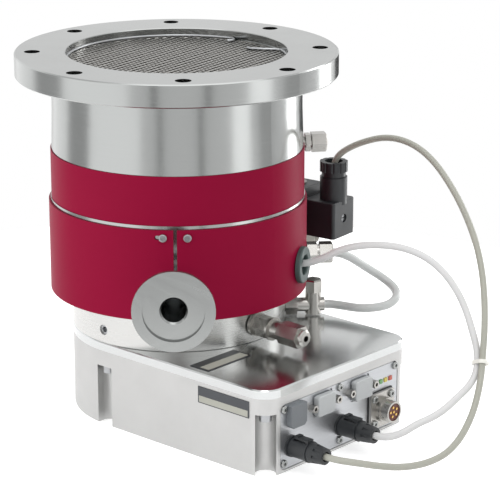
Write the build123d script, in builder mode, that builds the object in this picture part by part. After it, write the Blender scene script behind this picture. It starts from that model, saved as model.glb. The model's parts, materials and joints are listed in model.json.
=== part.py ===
"""Turbomolecular pump with magnetic bearings, an attached controller box and its leads.

Millimetres. The origin lies on the pump axis in the plane that the controller box rests on.
+Z points along the pump axis to the inlet, +X is square to the connector panel.
"""
import os
from math import atan2, cos, degrees, hypot, radians, sin, sqrt, tan

from build123d import *

os.makedirs("parts", exist_ok=True)

# ---------------------------------------------------------------- driving dimensions
fit = 0.05                      # radial play of a part seated in a bore
slack = 0.3                     # gap round a part that is not meant to touch

# controller box
box_half_width = 75.8
box_front = 151.2
box_corner = 14.0
housing_height = 54.3
housing_wall = 5.0
floor_plate = 2.0
floor_ledge = 2.0
lid_thickness = 6.2
pocket_width = 14.0
pocket_depth = 12.0
pocket_height = 43.0

# base casting and the envelope above it
base_radius = 75.7
ledge_height = 27.0             # plain cylinder of the base above the lid
base_flange_height = 42.5
cover_radius = 91.0
cover_sheet = 1.2
cover_height = 64.2
cover_slit = 2.4
step_height = 2.5               # bare ring between the cover and the upper band
band_height = 34.0
band_sheet = 0.7
neck_step = 2.2                 # the neck is this much slimmer than the seat of the cover
band_step = 0.9                 # and the seat of the upper band this much wider than the neck
bolt_room = 12.5                # from the neck to the bolt circle, and from there to the rim
neck_taper = 28.0               # height over which the neck narrows above the upper band
flange_thickness = 16.0
bolt_hole = 5.5
bolt_count = 8
bolt_turn = 1.25
casing_height = 126.0
casing_wall = 9.7
spacer_wall = 5.0
screen_step = 2.0               # width of the step that the screen lies on
screen_depth = 7.0
throat_depth = 24.0

# rotor and stator stages, from the inlet down; the heights share the room that the casing leaves
rotor_heights = (12.0, 10.0, 8.0, 7.0, 6.0, 5.0)
rotor_blade_counts = (18, 20, 22, 22, 24, 24)
rotor_blade_angles = (40, 38, 34, 30, 26, 22)
stator_heights = (8.0, 7.0, 6.0, 5.0, 5.0)
stator_blade_counts = (18, 20, 22, 22, 24)
stator_blade_angles = (38, 34, 30, 26, 24)
stage_gap = 1.2
tip_clearance = 1.0
blade_thickness = 1.5
hub_radius = 46.0
hub_wall = 8.0
hub_plate = 16.0
shaft_radius = 13.0
skirt_radius = 60.0
skirt_wall = 4.0
skirt_length = 35.0
skirt_rise = 4.0                # the skirt's top above the flange of the drag stage
drag_gap = 0.6
drag_step = 6.0                 # the drag stage is this much slimmer than the stack
cartridge_radius = 34.0
cartridge_wall = 7.0
cartridge_foot = 44.0

# ports and fittings on the pump, by direction about the axis
port_azimuth = -47.5
port_height = 113.0
port_face = 147.0
port_disc = 27.5
port_bore = 8.2
port_tube = 9.8
port_collar = 14.4
port_recess = 22.5              # shallow recess of the casting round the collar
gauge_azimuth = 52.0
gauge_height = 186.0
lead_azimuth = 23.3
lead_height = 109.0
coolant_azimuth = 46.3
upper_coolant_height = 107.0
lower_coolant_height = 68.0
purge_azimuth = -2.0
purge_height = 73.5
plug_azimuth = -90.0
plug_height = 70.0

# vent valve and its rectangular plug
din_azimuth, din_turn = 67.77, 6.35
din_room = 33.23                # from the cover to the axis of the plug's cable gland
din_bottom = 107.0
din_size = 27.0
din_width = 28.0
din_front = 9.5                 # from the cable gland's axis to the screw face
din_gasket_sheet = 1.5
coil_depth = 26.0
coil_height = 36.0
vent_pipe_height = 97.0
plunger_travel = 1.0

# connector panel
panel_bottom, panel_top = 1.9, 48.0
panel_corner = 4.5
panel_thickness = 3.0
panel_gap = 0.4
panel_land = 5.5                # width of the ledge that the panel's screws bite in
land_radius = 4.0
panel_screw_edge = 3.3
panel_screw_middle = -1.0
panel_screw_low, panel_screw_high = 6.3, 44.5
service_edge, service_z = 14.5, 38.3
service_width, service_height, service_chamfer = 15.6, 15.8, 2.2
dsub_shares = (0.288, 0.722)     # free width to the left of each D-sub, as a share of it all
dsub_z = 38.0
dsub_pitch = 25.0
dsub_width, dsub_height = 18.0, 14.4
jack_corner = 2.9
lamp_edge, lamp_z, lamp_pitch, lamp_size = 18.4, 36.5, 5.2, 3.0
power_edge, power_z, power_flange, power_pitch = 19.4, 17.5, 25.2, 18.0
power_reach = 13.2
power_radius = 7.6
socket_edge, second_socket_y, socket_z = 11.8, 1.2, 16.6
plug_radius = 6.8
plug_reach = 29.5
m3_head, m3_head_height, m3_shank = 2.8, 1.6, 1.45
m4_head, m4_head_height, m4_shank = 3.5, 4.0, 2.0
m5_head, m5_head_height, m5_shank = 4.25, 5.0, 2.5
socket_depth = 6.0              # how deep a fitting screws into the casting
clear_room = 19.0               # a cut from outside starts this far out of the cover

# leads
grey_diameter = 4.6
white_diameter = 4.9
coolant_diameter = 6.0

# ---------------------------------------------------------------- radii that follow from the cover
clear_reach = cover_radius + clear_room
flange_seat = cover_radius - cover_sheet - 0.1      # the cover is wrapped on this radius
neck_radius = flange_seat - neck_step
band_seat = neck_radius + band_step
bolt_circle = neck_radius + bolt_room
flange_radius = bolt_circle + bolt_room
stack_radius = flange_seat - casing_wall
throat_radius = stack_radius - spacer_wall
inlet_radius = throat_radius + screen_step
blade_tip = throat_radius - tip_clearance
drag_seat = stack_radius - drag_step

# ---------------------------------------------------------------- heights that follow
lid_top = housing_height + lid_thickness
ledge_z = lid_top + ledge_height
joint_z = ledge_z + base_flange_height
cover_top = ledge_z + cover_height
band_bottom = cover_top + step_height
band_top = band_bottom + band_height
inlet_top = joint_z + casing_height
flange_bottom = inlet_top - flange_thickness
throat_bottom = inlet_top - throat_depth
screen_z = inlet_top - screen_depth

# ---------------------------------------------------------------- places on the connector panel
panel_half_width = box_half_width - box_corner
panel_screw_y = panel_half_width - panel_screw_edge
service_y = service_edge - panel_half_width
lamp_y = panel_half_width - lamp_edge
power_y = panel_half_width - power_edge
socket_y = (socket_edge - panel_half_width, second_socket_y)
dsub_from, dsub_to = service_y + service_width / 2, lamp_y - lamp_size / 2
dsub_half = dsub_pitch / 2 + jack_corner
dsub_free = dsub_to - dsub_from - 4 * dsub_half
dsub_centres = [dsub_from + share * dsub_free + (1 + 2 * i) * dsub_half for i, share in enumerate(dsub_shares)]
panel_screws_at = [(y, z) for y in (-panel_screw_y, panel_screw_middle, panel_screw_y)
                   for z in (panel_screw_low, panel_screw_high)]

# ---------------------------------------------------------------- place of the vent valve
din_x = (cover_radius + din_room) * cos(radians(din_azimuth))
din_y = (cover_radius + din_room) * sin(radians(din_azimuth))
vent_turn = Vector(cos(radians(din_turn)), sin(radians(din_turn)), 0)
din_back = din_front - din_size
coil_centre = din_back - din_gasket_sheet - coil_depth / 2
vent_x, vent_y = din_x + coil_centre * vent_turn.X, din_y + coil_centre * vent_turn.Y
vent_azimuth = degrees(atan2(vent_y, vent_x))
vent_reach = hypot(vent_x, vent_y)


up = (Align.CENTER, Align.CENTER, Align.MIN)

# ---------------------------------------------------------------- helpers
def radial(azimuth, height, reach=0.0):
    """Plane square to the pump axis' radius: local x runs round the pump, y up, z outwards."""
    out = Vector(cos(radians(azimuth)), sin(radians(azimuth)), 0)
    return Plane(out * reach + Vector(0, 0, height), x_dir=(-out.Y, out.X, 0), z_dir=out)


def section(azimuth=0.0):
    """Plane through the pump axis: local x runs outwards and y up."""
    out = Vector(cos(radians(azimuth)), sin(radians(azimuth)), 0)
    return Plane((0, 0, 0), x_dir=out, z_dir=(out.Y, -out.X, 0))


def panel_plane(proud=0.0):
    """Plane of the connector panel: local x is +Y and local y is +Z."""
    return Plane((box_front + proud, 0, 0), x_dir=(0, 1, 0), z_dir=(1, 0, 0))


def box_plan(inset=0.0):
    """Plan of the controller box: a half-round end about the pump axis and a square front."""
    with BuildSketch() as plan:
        Circle(box_half_width - inset)
        with Locations(((box_front - inset) / 2, 0)):
            Rectangle(box_front - inset, 2 * (box_half_width - inset))
        fillet(plan.vertices().sort_by(Axis.X)[-2:], box_corner - inset if inset < 9 else 5)
    return plan.sketch


def slab(inset, bottom, top):
    """Slab with the plan of the controller box, drawn in by inset."""
    with BuildPart() as body:
        with BuildSketch(Plane.XY.offset(bottom)):
            add(box_plan(inset))
        extrude(amount=top - bottom)
    return body.part


def turned(points, azimuth=0.0, arc=360):
    """Solid of revolution about the pump axis from (radius, height) points."""
    with BuildPart() as body:
        with BuildSketch(section(azimuth)):
            with BuildLine():
                Polyline(*points, close=True)
            make_face()
        revolve(axis=Axis.Z, revolution_arc=arc)
    return body.part


def bar(plane, start, end, radius, sides=0):
    """Round or hexagonal bar along a plane's normal, from start to end."""
    with BuildPart() as body:
        with BuildSketch(plane.offset(start)):
            if sides:
                RegularPolygon(radius, sides)
            else:
                Circle(radius)
        extrude(amount=end - start)
    return body.part


def cap_screw(head_top, shank_top, radius=m5_shank, head=m5_head, head_height=m5_head_height):
    """Socket cap screw that points up, its head below head_top."""
    with BuildPart() as screw:
        with Locations((0, 0, head_top - head_height)):
            Cylinder(head, head_height, align=up)
        with Locations((0, 0, head_top)):
            Cylinder(radius, shank_top - head_top, align=up)
        with BuildSketch(Plane.XY.offset(head_top - head_height)):
            RegularPolygon(head * 0.54, 6)
        extrude(amount=head_height / 2, mode=Mode.SUBTRACT)
    return screw.part


def pan_screw(length, head=m3_head, head_height=m3_head_height, shank=m3_shank):
    """Pan-head screw along +Z: the head stands on the plane z = 0."""
    with BuildPart() as screw:
        Cylinder(head, head_height, align=up)
        fillet(screw.edges().group_by(Axis.Z)[-1], head_height * 0.45)
        with BuildSketch(Plane.XY.offset(head_height)):
            RegularPolygon(head * 0.42, 6)
        extrude(amount=-head_height * 0.6, mode=Mode.SUBTRACT)
        with Locations((0, 0, -length)):
            Cylinder(shank, length, align=up)
    return screw.part


def keep(piece, name):
    """Label a finished piece and write it under its node name."""
    piece.part.label = name
    export_step(piece.part, f"parts/{name}.step")


# ---------------------------------------------------------------- where the box screws stand
corner_x = box_front - box_corner
corner_y = box_half_width - box_corner
corner_reach = (box_corner - pocket_depth + pocket_width / 2) * sin(radians(45))
side_y = box_half_width - pocket_depth + pocket_width / 2
pockets = (
    (0.0, -side_y, -90), (0.0, side_y, 90),
    (corner_x + corner_reach, -corner_y - corner_reach, -45),
    (corner_x + corner_reach, corner_y + corner_reach, 45),
)
boss_radius = pocket_width / 2 + 3.5
housing_screw_tip = lid_top - 1.5
casing_screw_radius = flange_seat - 4.6
casing_screw_start = 35.0           # clear of the ports' bores
casing_screw_seat = joint_z - 9.0
casing_screw_tip = joint_z + 8.0
casing_screw_count = 6

# ---------------------------------------------------------------- controller box
with BuildPart() as controller_housing:
    add(slab(0, 0, housing_height))
    add(slab(housing_wall, floor_plate, housing_height), mode=Mode.SUBTRACT)
    add(slab(housing_wall - floor_ledge, 0, floor_plate), mode=Mode.SUBTRACT)
    # bosses that carry the lid screws, then the pockets that let the screws in from below
    with BuildSketch():
        with Locations(*[(x, y) for x, y, _ in pockets]):
            Circle(boss_radius)
        add(box_plan(), mode=Mode.INTERSECT)
    extrude(amount=housing_height)
    for x, y, turn in pockets:
        with BuildSketch(Plane.XY):
            with Locations(Location((x, y, 0), (0, 0, turn))):
                Circle(pocket_width / 2)
                with Locations((pocket_width, 0)):
                    Rectangle(2 * pocket_width, pocket_width)
        extrude(amount=pocket_height, mode=Mode.SUBTRACT)
        with Locations((x, y, 0)):
            Cylinder(m5_shank + fit, housing_height, align=up, mode=Mode.SUBTRACT)
    # recess and window for the connector panel
    with BuildSketch(panel_plane(-panel_thickness)):
        with Locations((0, (panel_bottom + panel_top) / 2)):
            RectangleRounded(2 * panel_half_width, panel_top - panel_bottom, panel_corner)
    extrude(amount=panel_thickness, mode=Mode.SUBTRACT)
    with BuildSketch(panel_plane(-panel_thickness - housing_wall)):
        with Locations((0, (panel_bottom + panel_top) / 2)):
            Rectangle(2 * (panel_half_width - panel_land), panel_top - panel_bottom - panel_land)
        with Locations(*panel_screws_at):
            Circle(land_radius, mode=Mode.SUBTRACT)
    extrude(amount=housing_wall, mode=Mode.SUBTRACT)
    with BuildSketch(panel_plane(-panel_thickness)):
        with Locations(*panel_screws_at):
            Circle(m3_shank + fit)
    extrude(amount=-housing_wall, mode=Mode.SUBTRACT)
    fillet(controller_housing.edges().filter_by(GeomType.CIRCLE).filter_by(
        lambda e: e.arc_center.Z < 0.01 and abs(e.radius - box_half_width) < 0.01), 0.6)

keep(controller_housing, "controller_housing")

with BuildPart() as controller_lid:
    add(slab(0, housing_height, lid_top))
    with BuildSketch(Plane.XY.offset(housing_height)):
        Circle(30)
    extrude(amount=lid_thickness, mode=Mode.SUBTRACT)
    for x, y, turn in pockets:
        with Locations((x, y, housing_height)):
            Cylinder(m5_shank + fit, housing_screw_tip - housing_height, align=up, mode=Mode.SUBTRACT)
    chamfer(controller_lid.faces().sort_by(Axis.Z)[-1].outer_wire().edges(), 0.8)
keep(controller_lid, "controller_lid")

board_half_width = box_half_width - 23.8
board_front = box_front - 18.7
board_play = 0.4
board_back = -sqrt((box_half_width - housing_wall - board_play) ** 2 - board_half_width ** 2)
post_inset = 7.5
board_posts = [(board_back + post_inset, side * (board_half_width - 22)) for side in (-1, 1)]
board_posts += [(board_front - post_inset, side * (board_half_width - 7)) for side in (-1, 1)]
board_bottom = 10.0
with BuildPart() as bottom_cover:
    with BuildSketch():
        add(box_plan(housing_wall - floor_ledge + slack / 3))
        with Locations(*[(x, y) for x, y, _ in pockets]):
            Circle(boss_radius + slack / 3, mode=Mode.SUBTRACT)
    extrude(amount=floor_plate)
    with Locations(*[(x, y, floor_plate) for x, y in board_posts]):
        Cylinder(3.5, board_bottom - floor_plate, align=up)
keep(bottom_cover, "bottom_cover")

board_thickness = 1.6
with BuildPart() as control_board:
    with BuildSketch(Plane.XY.offset(board_bottom)):
        with Locations(((board_front + board_back) / 2, 0)):
            Rectangle(board_front - board_back, 2 * board_half_width)
    extrude(amount=board_thickness)
    with Locations((60, -28, board_bottom + board_thickness), (84, -28, board_bottom + board_thickness)):
        Cylinder(10, 30, align=up)
    with Locations((20, 25, board_bottom + board_thickness)):
        Box(46, 36, 22, align=up)
    with Locations((100, 25, board_bottom + board_thickness)):
        Box(30, 30, 4, align=up)
keep(control_board, "control_board")

# ---------------------------------------------------------------- base casting
channel_radius = drag_seat + 4.0
port_start = channel_radius + 5.0   # the port's spigot stops short of the channel
port_spigot = port_collar - 2.4
drag_bottom = joint_z - 30.0
drag_flange = 3.0
stack_bottom = joint_z + drag_flange
cartridge_bottom = lid_top + 9.5
lead_bore = 6.5
lead_stop = channel_radius + 2.0
coolant_bore = 5.0
vent_bore = 4.0
plug_screw_radius = 3.7
plug_depth = 8.0
seal_outer = casing_screw_radius - 3.1
seal_inner = seal_outer - 1.4
seal_height = 1.1
port_bearing = flange_seat - 3.2

with BuildPart() as pump_base:
    add(turned([
        (12, lid_top), (base_radius - 0.4, lid_top), (base_radius, lid_top + 0.4), (base_radius, ledge_z),
        (flange_seat - 0.6, ledge_z), (flange_seat, ledge_z + 0.6), (flange_seat, joint_z),
        (drag_seat + fit, joint_z), (drag_seat + fit, joint_z - 4), (channel_radius, joint_z - 4),
        (channel_radius, drag_bottom - 4), (cartridge_foot + fit, drag_bottom - 4),
        (cartridge_foot + fit, cartridge_bottom), (12, cartridge_bottom)]))
    # foreline port: a flat for its collar and the way through
    for plane, stop, radius in (
            (radial(port_azimuth, port_height), port_bearing, port_recess),
            (radial(port_azimuth, port_height), channel_radius - 8, port_spigot + fit),
            (radial(lead_azimuth, lead_height), lead_stop, lead_bore),
            (radial(coolant_azimuth, upper_coolant_height), flange_seat - socket_depth, coolant_bore + fit),
            (radial(coolant_azimuth, lower_coolant_height), base_radius - socket_depth, coolant_bore + fit),
            (radial(purge_azimuth, purge_height), base_radius - socket_depth, coolant_bore + fit),
            (radial(plug_azimuth, plug_height), base_radius - plug_depth, plug_screw_radius)):
        add(bar(plane, stop, clear_reach, radius), mode=Mode.SUBTRACT)
    with PolarLocations(casing_screw_radius, casing_screw_count, casing_screw_start):
        with Locations((0, 0, ledge_z - 5)):
            Cylinder(m4_shank + fit, joint_z - ledge_z + 5, align=up, mode=Mode.SUBTRACT)
            Cylinder(m4_head + slack, casing_screw_seat - ledge_z + 5, align=up, mode=Mode.SUBTRACT)
    add(turned([(seal_inner - fit, joint_z - seal_height), (seal_outer + fit, joint_z - seal_height),
                (seal_outer + fit, joint_z + 1), (seal_inner - fit, joint_z + 1)]), mode=Mode.SUBTRACT)
    add(bar(radial(vent_azimuth, vent_pipe_height), flange_seat - socket_depth, clear_reach, vent_bore + fit),
        mode=Mode.SUBTRACT)
keep(pump_base, "pump_base")

with BuildPart() as base_plug:
    add(bar(radial(plug_azimuth, plug_height), base_radius - plug_depth, base_radius - 1.2,
            plug_screw_radius - fit))
    with BuildSketch(radial(plug_azimuth, plug_height, base_radius - 1.2)):
        RegularPolygon(2.3, 6)
    extrude(amount=-2.5, mode=Mode.SUBTRACT)
keep(base_plug, "base_plug")

with BuildPart() as casing_o_ring:
    add(turned([(seal_inner, joint_z - seal_height), (seal_outer, joint_z - seal_height), (seal_outer, joint_z),
                (seal_inner, joint_z)]))
keep(casing_o_ring, "casing_o_ring")

with BuildPart() as cap_screws:
    for x, y, turn in pockets:
        add(cap_screw(pocket_height, housing_screw_tip).moved(Location((x, y, 0))))
    with PolarLocations(casing_screw_radius, casing_screw_count, casing_screw_start):
        add(cap_screw(casing_screw_seat, casing_screw_tip, m4_shank, m4_head, m4_head_height))
keep(cap_screws, "cap_screws")

# ---------------------------------------------------------------- envelope, screen and covers
screen_sheet = 0.6
ring_wire = 1.0
ring_groove = screen_z + screen_sheet + ring_wire
cover_screw_turn = 5.2
cover_screw_height = cover_top - 5.2
cover_screw_shank = 1.5
gauge_stub = 4.0
gauge_depth = 4.0
with BuildPart() as inlet_casing:
    add(turned([
        (stack_radius, joint_z), (flange_seat, joint_z), (flange_seat, band_bottom), (band_seat, band_bottom),
        (band_seat, band_top + 0.5), (neck_radius, band_top + neck_taper), (neck_radius, flange_bottom - 2.5),
        (neck_radius + 2.5, flange_bottom), (flange_radius - 0.8, flange_bottom),
        (flange_radius, flange_bottom + 0.8), (flange_radius, inlet_top - 0.8), (flange_radius - 0.8, inlet_top),
        (inlet_radius + 0.5, inlet_top), (inlet_radius, inlet_top - 0.5),
        (inlet_radius, ring_groove + ring_wire), (inlet_radius + ring_wire, ring_groove + ring_wire),
        (inlet_radius + ring_wire, ring_groove - ring_wire), (inlet_radius, ring_groove - ring_wire),
        (inlet_radius, screen_z), (throat_radius, screen_z), (throat_radius, throat_bottom),
        (stack_radius, throat_bottom)]))
    with PolarLocations(bolt_circle, bolt_count, bolt_turn):
        Cylinder(bolt_hole, 3 * inlet_top, mode=Mode.SUBTRACT)
    with PolarLocations(casing_screw_radius, casing_screw_count, casing_screw_start):
        with Locations((0, 0, joint_z)):
            Cylinder(m4_shank + fit, casing_screw_tip - joint_z, align=up, mode=Mode.SUBTRACT)
    add(bar(radial(gauge_azimuth, gauge_height), neck_radius - gauge_depth, clear_reach, gauge_stub + fit),
        mode=Mode.SUBTRACT)
    add(bar(radial(port_azimuth, port_height), port_bearing, clear_reach, port_recess), mode=Mode.SUBTRACT)
    for turn in (-cover_screw_turn, cover_screw_turn):
        add(bar(radial(port_azimuth + turn, cover_screw_height), flange_seat - 5, clear_reach,
                cover_screw_shank + fit), mode=Mode.SUBTRACT)
keep(inlet_casing, "inlet_casing")

screen_pitch = 14.0
screen_wire = 1.2
screen_outer = inlet_radius - fit
screen_bar_count = 2 * int(throat_radius / screen_pitch) + 1
with BuildPart() as inlet_screen:
    with BuildSketch(Plane.XY.offset(screen_z)):
        with GridLocations(screen_pitch, 1, screen_bar_count, 1):
            Rectangle(screen_wire, 2 * inlet_radius)
        with GridLocations(1, screen_pitch, 1, screen_bar_count):
            Rectangle(2 * inlet_radius, screen_wire)
        Circle(screen_outer, mode=Mode.INTERSECT)
        with BuildSketch(mode=Mode.PRIVATE) as screen_rim:
            Circle(screen_outer)
            Circle(throat_radius - 0.5, mode=Mode.SUBTRACT)
        add(screen_rim.sketch)
    extrude(amount=screen_sheet)
keep(inlet_screen, "inlet_screen")

ring_gap_azimuth = 87.0
ring_gap = 26.0
ring_radius = inlet_radius - 0.1
with BuildPart() as screen_ring:
    with BuildSketch(section(ring_gap_azimuth + ring_gap / 2)):
        with Locations((ring_radius, ring_groove)):
            RegularPolygon(ring_wire * 0.95, 8)
    revolve(axis=Axis.Z, revolution_arc=360 - ring_gap)
keep(screen_ring, "screen_ring")

with BuildPart() as upper_band:
    add(turned([(band_seat + fit, band_bottom), (band_seat + fit + band_sheet, band_bottom),
                (band_seat + fit + band_sheet, band_top), (band_seat + fit, band_top)]))
    with BuildSketch(radial(gauge_azimuth, gauge_height, band_seat - 6)):
        Circle(9)
        with Locations((0, 20)):
            Rectangle(18, 40)
    extrude(amount=20, mode=Mode.SUBTRACT)
keep(upper_band, "upper_band")

grommet_seat = 10.5
keyhole_room = cover_radius * sin(radians(cover_screw_turn))
keyhole_length = 4.0
with BuildPart() as lower_cover:
    add(turned([(cover_radius - cover_sheet, ledge_z), (cover_radius, ledge_z),
                (cover_radius, cover_top), (cover_radius - cover_sheet, cover_top)]))
    with BuildSketch(radial(port_azimuth, port_height, cover_radius - 9)):
        Circle(port_tube + slack)
        Rectangle(cover_slit, 2 * cover_height)
        # the left screw's hole is a keyhole
        with Locations((-keyhole_length / 2 - keyhole_room, cover_screw_height - port_height)):
            SlotCenterToCenter(keyhole_length, 2 * (cover_screw_shank + fit))
    extrude(amount=20, mode=Mode.SUBTRACT)
    for plane, radius in (
            (radial(lead_azimuth, lead_height), grommet_seat),
            (radial(coolant_azimuth, upper_coolant_height), coolant_bore + 1.5),
            (radial(vent_azimuth, vent_pipe_height), vent_bore + 1.5),
            (radial(port_azimuth - cover_screw_turn, cover_screw_height), cover_screw_shank + fit),
            (radial(port_azimuth + cover_screw_turn, cover_screw_height), cover_screw_shank + fit)):
        add(bar(plane, cover_radius - 9, clear_reach, radius), mode=Mode.SUBTRACT)
keep(lower_cover, "lower_cover")

with BuildPart() as cover_screws:
    for turn in (-cover_screw_turn, cover_screw_turn):
        screw_plane = radial(port_azimuth + turn, cover_screw_height, cover_radius)
        add(pan_screw(5.5, shank=cover_screw_shank).moved(screw_plane.location))
keep(cover_screws, "cover_screws")

with BuildPart() as foreline_port:
    rim = 3.0
    hub = port_tube + 3.5
    collar_end = flange_seat - 1.3      # the collar stays inside the cover
    hub_face = port_face - rim - (port_disc - hub) * tan(radians(15))
    recess_floor = port_face - 2.6
    profile = [
        (0, port_start), (port_spigot, port_start), (port_spigot, port_bearing), (port_collar, port_bearing),
        (port_collar, collar_end), (port_tube, collar_end), (port_tube, hub_face - 5),
        (hub, hub_face), (port_disc, port_face - rim), (port_disc, port_face), (20.6, port_face),
        (20.6, recess_floor), (port_bore + 1.1, recess_floor), (port_bore, recess_floor - 1.2),
        (0, recess_floor - 1.2)]
    spin = radial(port_azimuth, port_height)
    turning = Plane(spin.origin, x_dir=spin.x_dir, z_dir=-spin.y_dir)
    with BuildSketch(turning):
        with BuildLine():
            Polyline(*profile, close=True)
        make_face()
    revolve(axis=Axis(spin.origin, spin.z_dir))
    with BuildSketch(spin.offset(channel_radius - 8)):
        Circle(port_bore)
    extrude(amount=port_face, mode=Mode.SUBTRACT)
keep(foreline_port, "foreline_port")

# ---------------------------------------------------------------- rotor and stator stages
def blade_ring(bottom, height, count, angle, inner, outer):
    """Ring of flat blades set at an angle, all between the planes bottom and bottom + height."""
    lean = height / tan(radians(angle)) / 2
    half = blade_thickness / sin(radians(angle)) / 2
    with BuildPart() as blade:
        with BuildSketch(Plane.YZ.offset(inner)):
            with BuildLine():
                Polyline((-lean - half, bottom), (half - lean, bottom), (lean + half, bottom + height),
                         (lean - half, bottom + height), close=True)
            make_face()
        extrude(amount=outer - inner)
    with BuildPart() as ring:
        with PolarLocations(0, count):
            add(blade.part)
    return ring.part


skirt_top = stack_bottom + skirt_rise
first_blade_top = throat_bottom - 3.0
last_blade_bottom = skirt_top + 1.0


def stack_stages():
    """Bottom, height, count and angle of each rotor and each stator stage, from the inlet down."""
    gaps = 2 * stage_gap * len(stator_heights)
    blades = first_blade_top - last_blade_bottom - gaps
    share = blades / (sum(rotor_heights) + sum(stator_heights))
    level = first_blade_top
    rotor, stator = [], []
    for i, height in enumerate(rotor_heights):
        level -= height * share
        rotor.append((level, height * share, rotor_blade_counts[i], rotor_blade_angles[i]))
        if i < len(stator_heights):
            level -= stage_gap + stator_heights[i] * share
            stator.append((level, stator_heights[i] * share, stator_blade_counts[i], stator_blade_angles[i]))
            level -= stage_gap
    return rotor, stator


rotor_stages, stator_stages = stack_stages()
hub_top = throat_bottom - 1.0
skirt_bottom = skirt_top - skirt_length
hub_bore = hub_radius - hub_wall
plate_top = hub_top - 15.0
plate_bottom = plate_top - hub_plate
spigot = shaft_radius - 5.0
with BuildPart() as bladed_rotor:
    add(turned([
        (spigot + fit, plate_bottom), (hub_bore, plate_bottom), (hub_bore, skirt_top - 8),
        (skirt_radius - skirt_wall, skirt_top - 14), (skirt_radius - skirt_wall, skirt_bottom),
        (skirt_radius, skirt_bottom), (skirt_radius, skirt_top - 7), (hub_radius + 3, skirt_top),
        (hub_radius, skirt_top), (hub_radius, hub_top - 1), (hub_radius - 1, hub_top), (hub_radius - 11, hub_top),
        (hub_radius - 15, plate_top), (spigot + fit, plate_top)]))
    for level, height, count, angle in rotor_stages:
        add(blade_ring(level, height, count, -angle, hub_radius - 1, blade_tip))
keep(bladed_rotor, "bladed_rotor")

rim_inner = throat_radius + 1.0
with BuildPart() as stator_discs:
    for level, height, count, angle in stator_stages:
        top = level + height
        with BuildPart(mode=Mode.PRIVATE) as disc:
            for left, right in ((rim_inner, stack_radius - fit), (hub_radius + stage_gap, hub_radius + 3)):
                add(turned([(left, level), (right, level), (right, top), (left, top)]))
            add(blade_ring(level, height, count, angle, hub_radius + 2, rim_inner + 1))
        add(disc.part)
keep(stator_discs, "stator_discs")

with BuildPart() as spacer_rings:
    tops = [throat_bottom] + [stage[0] for stage in stator_stages]
    bottoms = [stage[0] + stage[1] for stage in stator_stages] + [stack_bottom]
    for top, bottom in zip(tops, bottoms):
        add(turned([(throat_radius, bottom), (stack_radius - fit, bottom), (stack_radius - fit, top),
                    (throat_radius, top)]))
keep(spacer_rings, "spacer_rings")

groove_count = 10
groove_depth = 3.0
drag_bore = skirt_radius + drag_gap
with BuildPart() as drag_stator:
    add(turned([(drag_bore, drag_bottom), (drag_seat, drag_bottom), (drag_seat, joint_z),
                (stack_radius - fit, joint_z), (stack_radius - fit, stack_bottom), (drag_bore, stack_bottom)]))
    with BuildSketch(Plane.YZ.offset(drag_bore - 4)) as groove:
        with Locations(Location((0, (drag_bottom + stack_bottom) / 2, 0), (0, 0, 60))):
            Rectangle(90, 9)
        with Locations((0, (drag_bottom + stack_bottom) / 2)):
            Rectangle(44, stack_bottom - drag_bottom + 2, mode=Mode.INTERSECT)
    with PolarLocations(0, groove_count):
        extrude(groove.sketch, amount=4 + groove_depth, mode=Mode.SUBTRACT)
keep(drag_stator, "drag_stator")

# ---------------------------------------------------------------- shaft and magnetic bearings
disc_radius = 24.0
disc_bottom = cartridge_bottom + 14.0
disc_thickness = 5.0
axial_air = 0.5
cartridge_bore = cartridge_radius - cartridge_wall
cartridge_top = plate_bottom - 10.0
landing_radius = 10.0
landing_play = 0.3
with BuildPart() as rotor_shaft:
    add(turned([
        (0, cartridge_bottom + 1), (landing_radius, cartridge_bottom + 1), (landing_radius, disc_bottom),
        (disc_radius, disc_bottom), (disc_radius, disc_bottom + disc_thickness),
        (shaft_radius, disc_bottom + disc_thickness), (shaft_radius, plate_bottom - 4),
        (shaft_radius + 7, plate_bottom - 4), (shaft_radius + 7, plate_bottom), (spigot, plate_bottom),
        (spigot, plate_top), (shaft_radius, plate_top), (shaft_radius, plate_top + 5),
        (shaft_radius - 1, plate_top + 6), (0, plate_top + 6)]))
    with BuildSketch(Plane.XY.offset(plate_top + 6)):
        RegularPolygon(6, 6)
    extrude(amount=-4, mode=Mode.SUBTRACT)
keep(rotor_shaft, "rotor_shaft")

foot_bore = landing_radius + landing_play + 7
with BuildPart() as bearing_cartridge:
    add(turned([
        (foot_bore, cartridge_bottom), (cartridge_foot, cartridge_bottom), (cartridge_foot, cartridge_bottom + 5),
        (cartridge_radius, cartridge_bottom + 5), (cartridge_radius, cartridge_top), (cartridge_bore, cartridge_top),
        (cartridge_bore, cartridge_bottom + 7), (foot_bore, cartridge_bottom + 7)]))
keep(bearing_cartridge, "bearing_cartridge")

core_radius = cartridge_bore - fit


def slotted_core(bottom, height, slots, width, air=1.0):
    """Laminated stator ring round the shaft, with open slots for its coils."""
    with BuildPart() as core:
        add(turned([(shaft_radius + air, bottom), (core_radius, bottom), (core_radius, bottom + height),
                    (shaft_radius + air, bottom + height)]))
        with BuildSketch(Plane.XY.offset(bottom)):
            with PolarLocations(shaft_radius + 4, slots):
                Rectangle(11, width)
        extrude(amount=height, mode=Mode.SUBTRACT)
    return core.part


core_height = 16.0
lower_core = disc_bottom + disc_thickness + 10
upper_core = cartridge_top - 30
motor_bottom = lower_core + core_height + 4
motor_top = upper_core - 11
with BuildPart() as radial_bearings:
    add(slotted_core(lower_core, core_height, 8, 3.5))
    add(slotted_core(upper_core, core_height, 8, 3.5))
keep(radial_bearings, "radial_bearings")

with BuildPart() as motor_stator:
    add(slotted_core(motor_bottom, motor_top - motor_bottom, 6, 5.0))
keep(motor_stator, "motor_stator")

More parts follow.
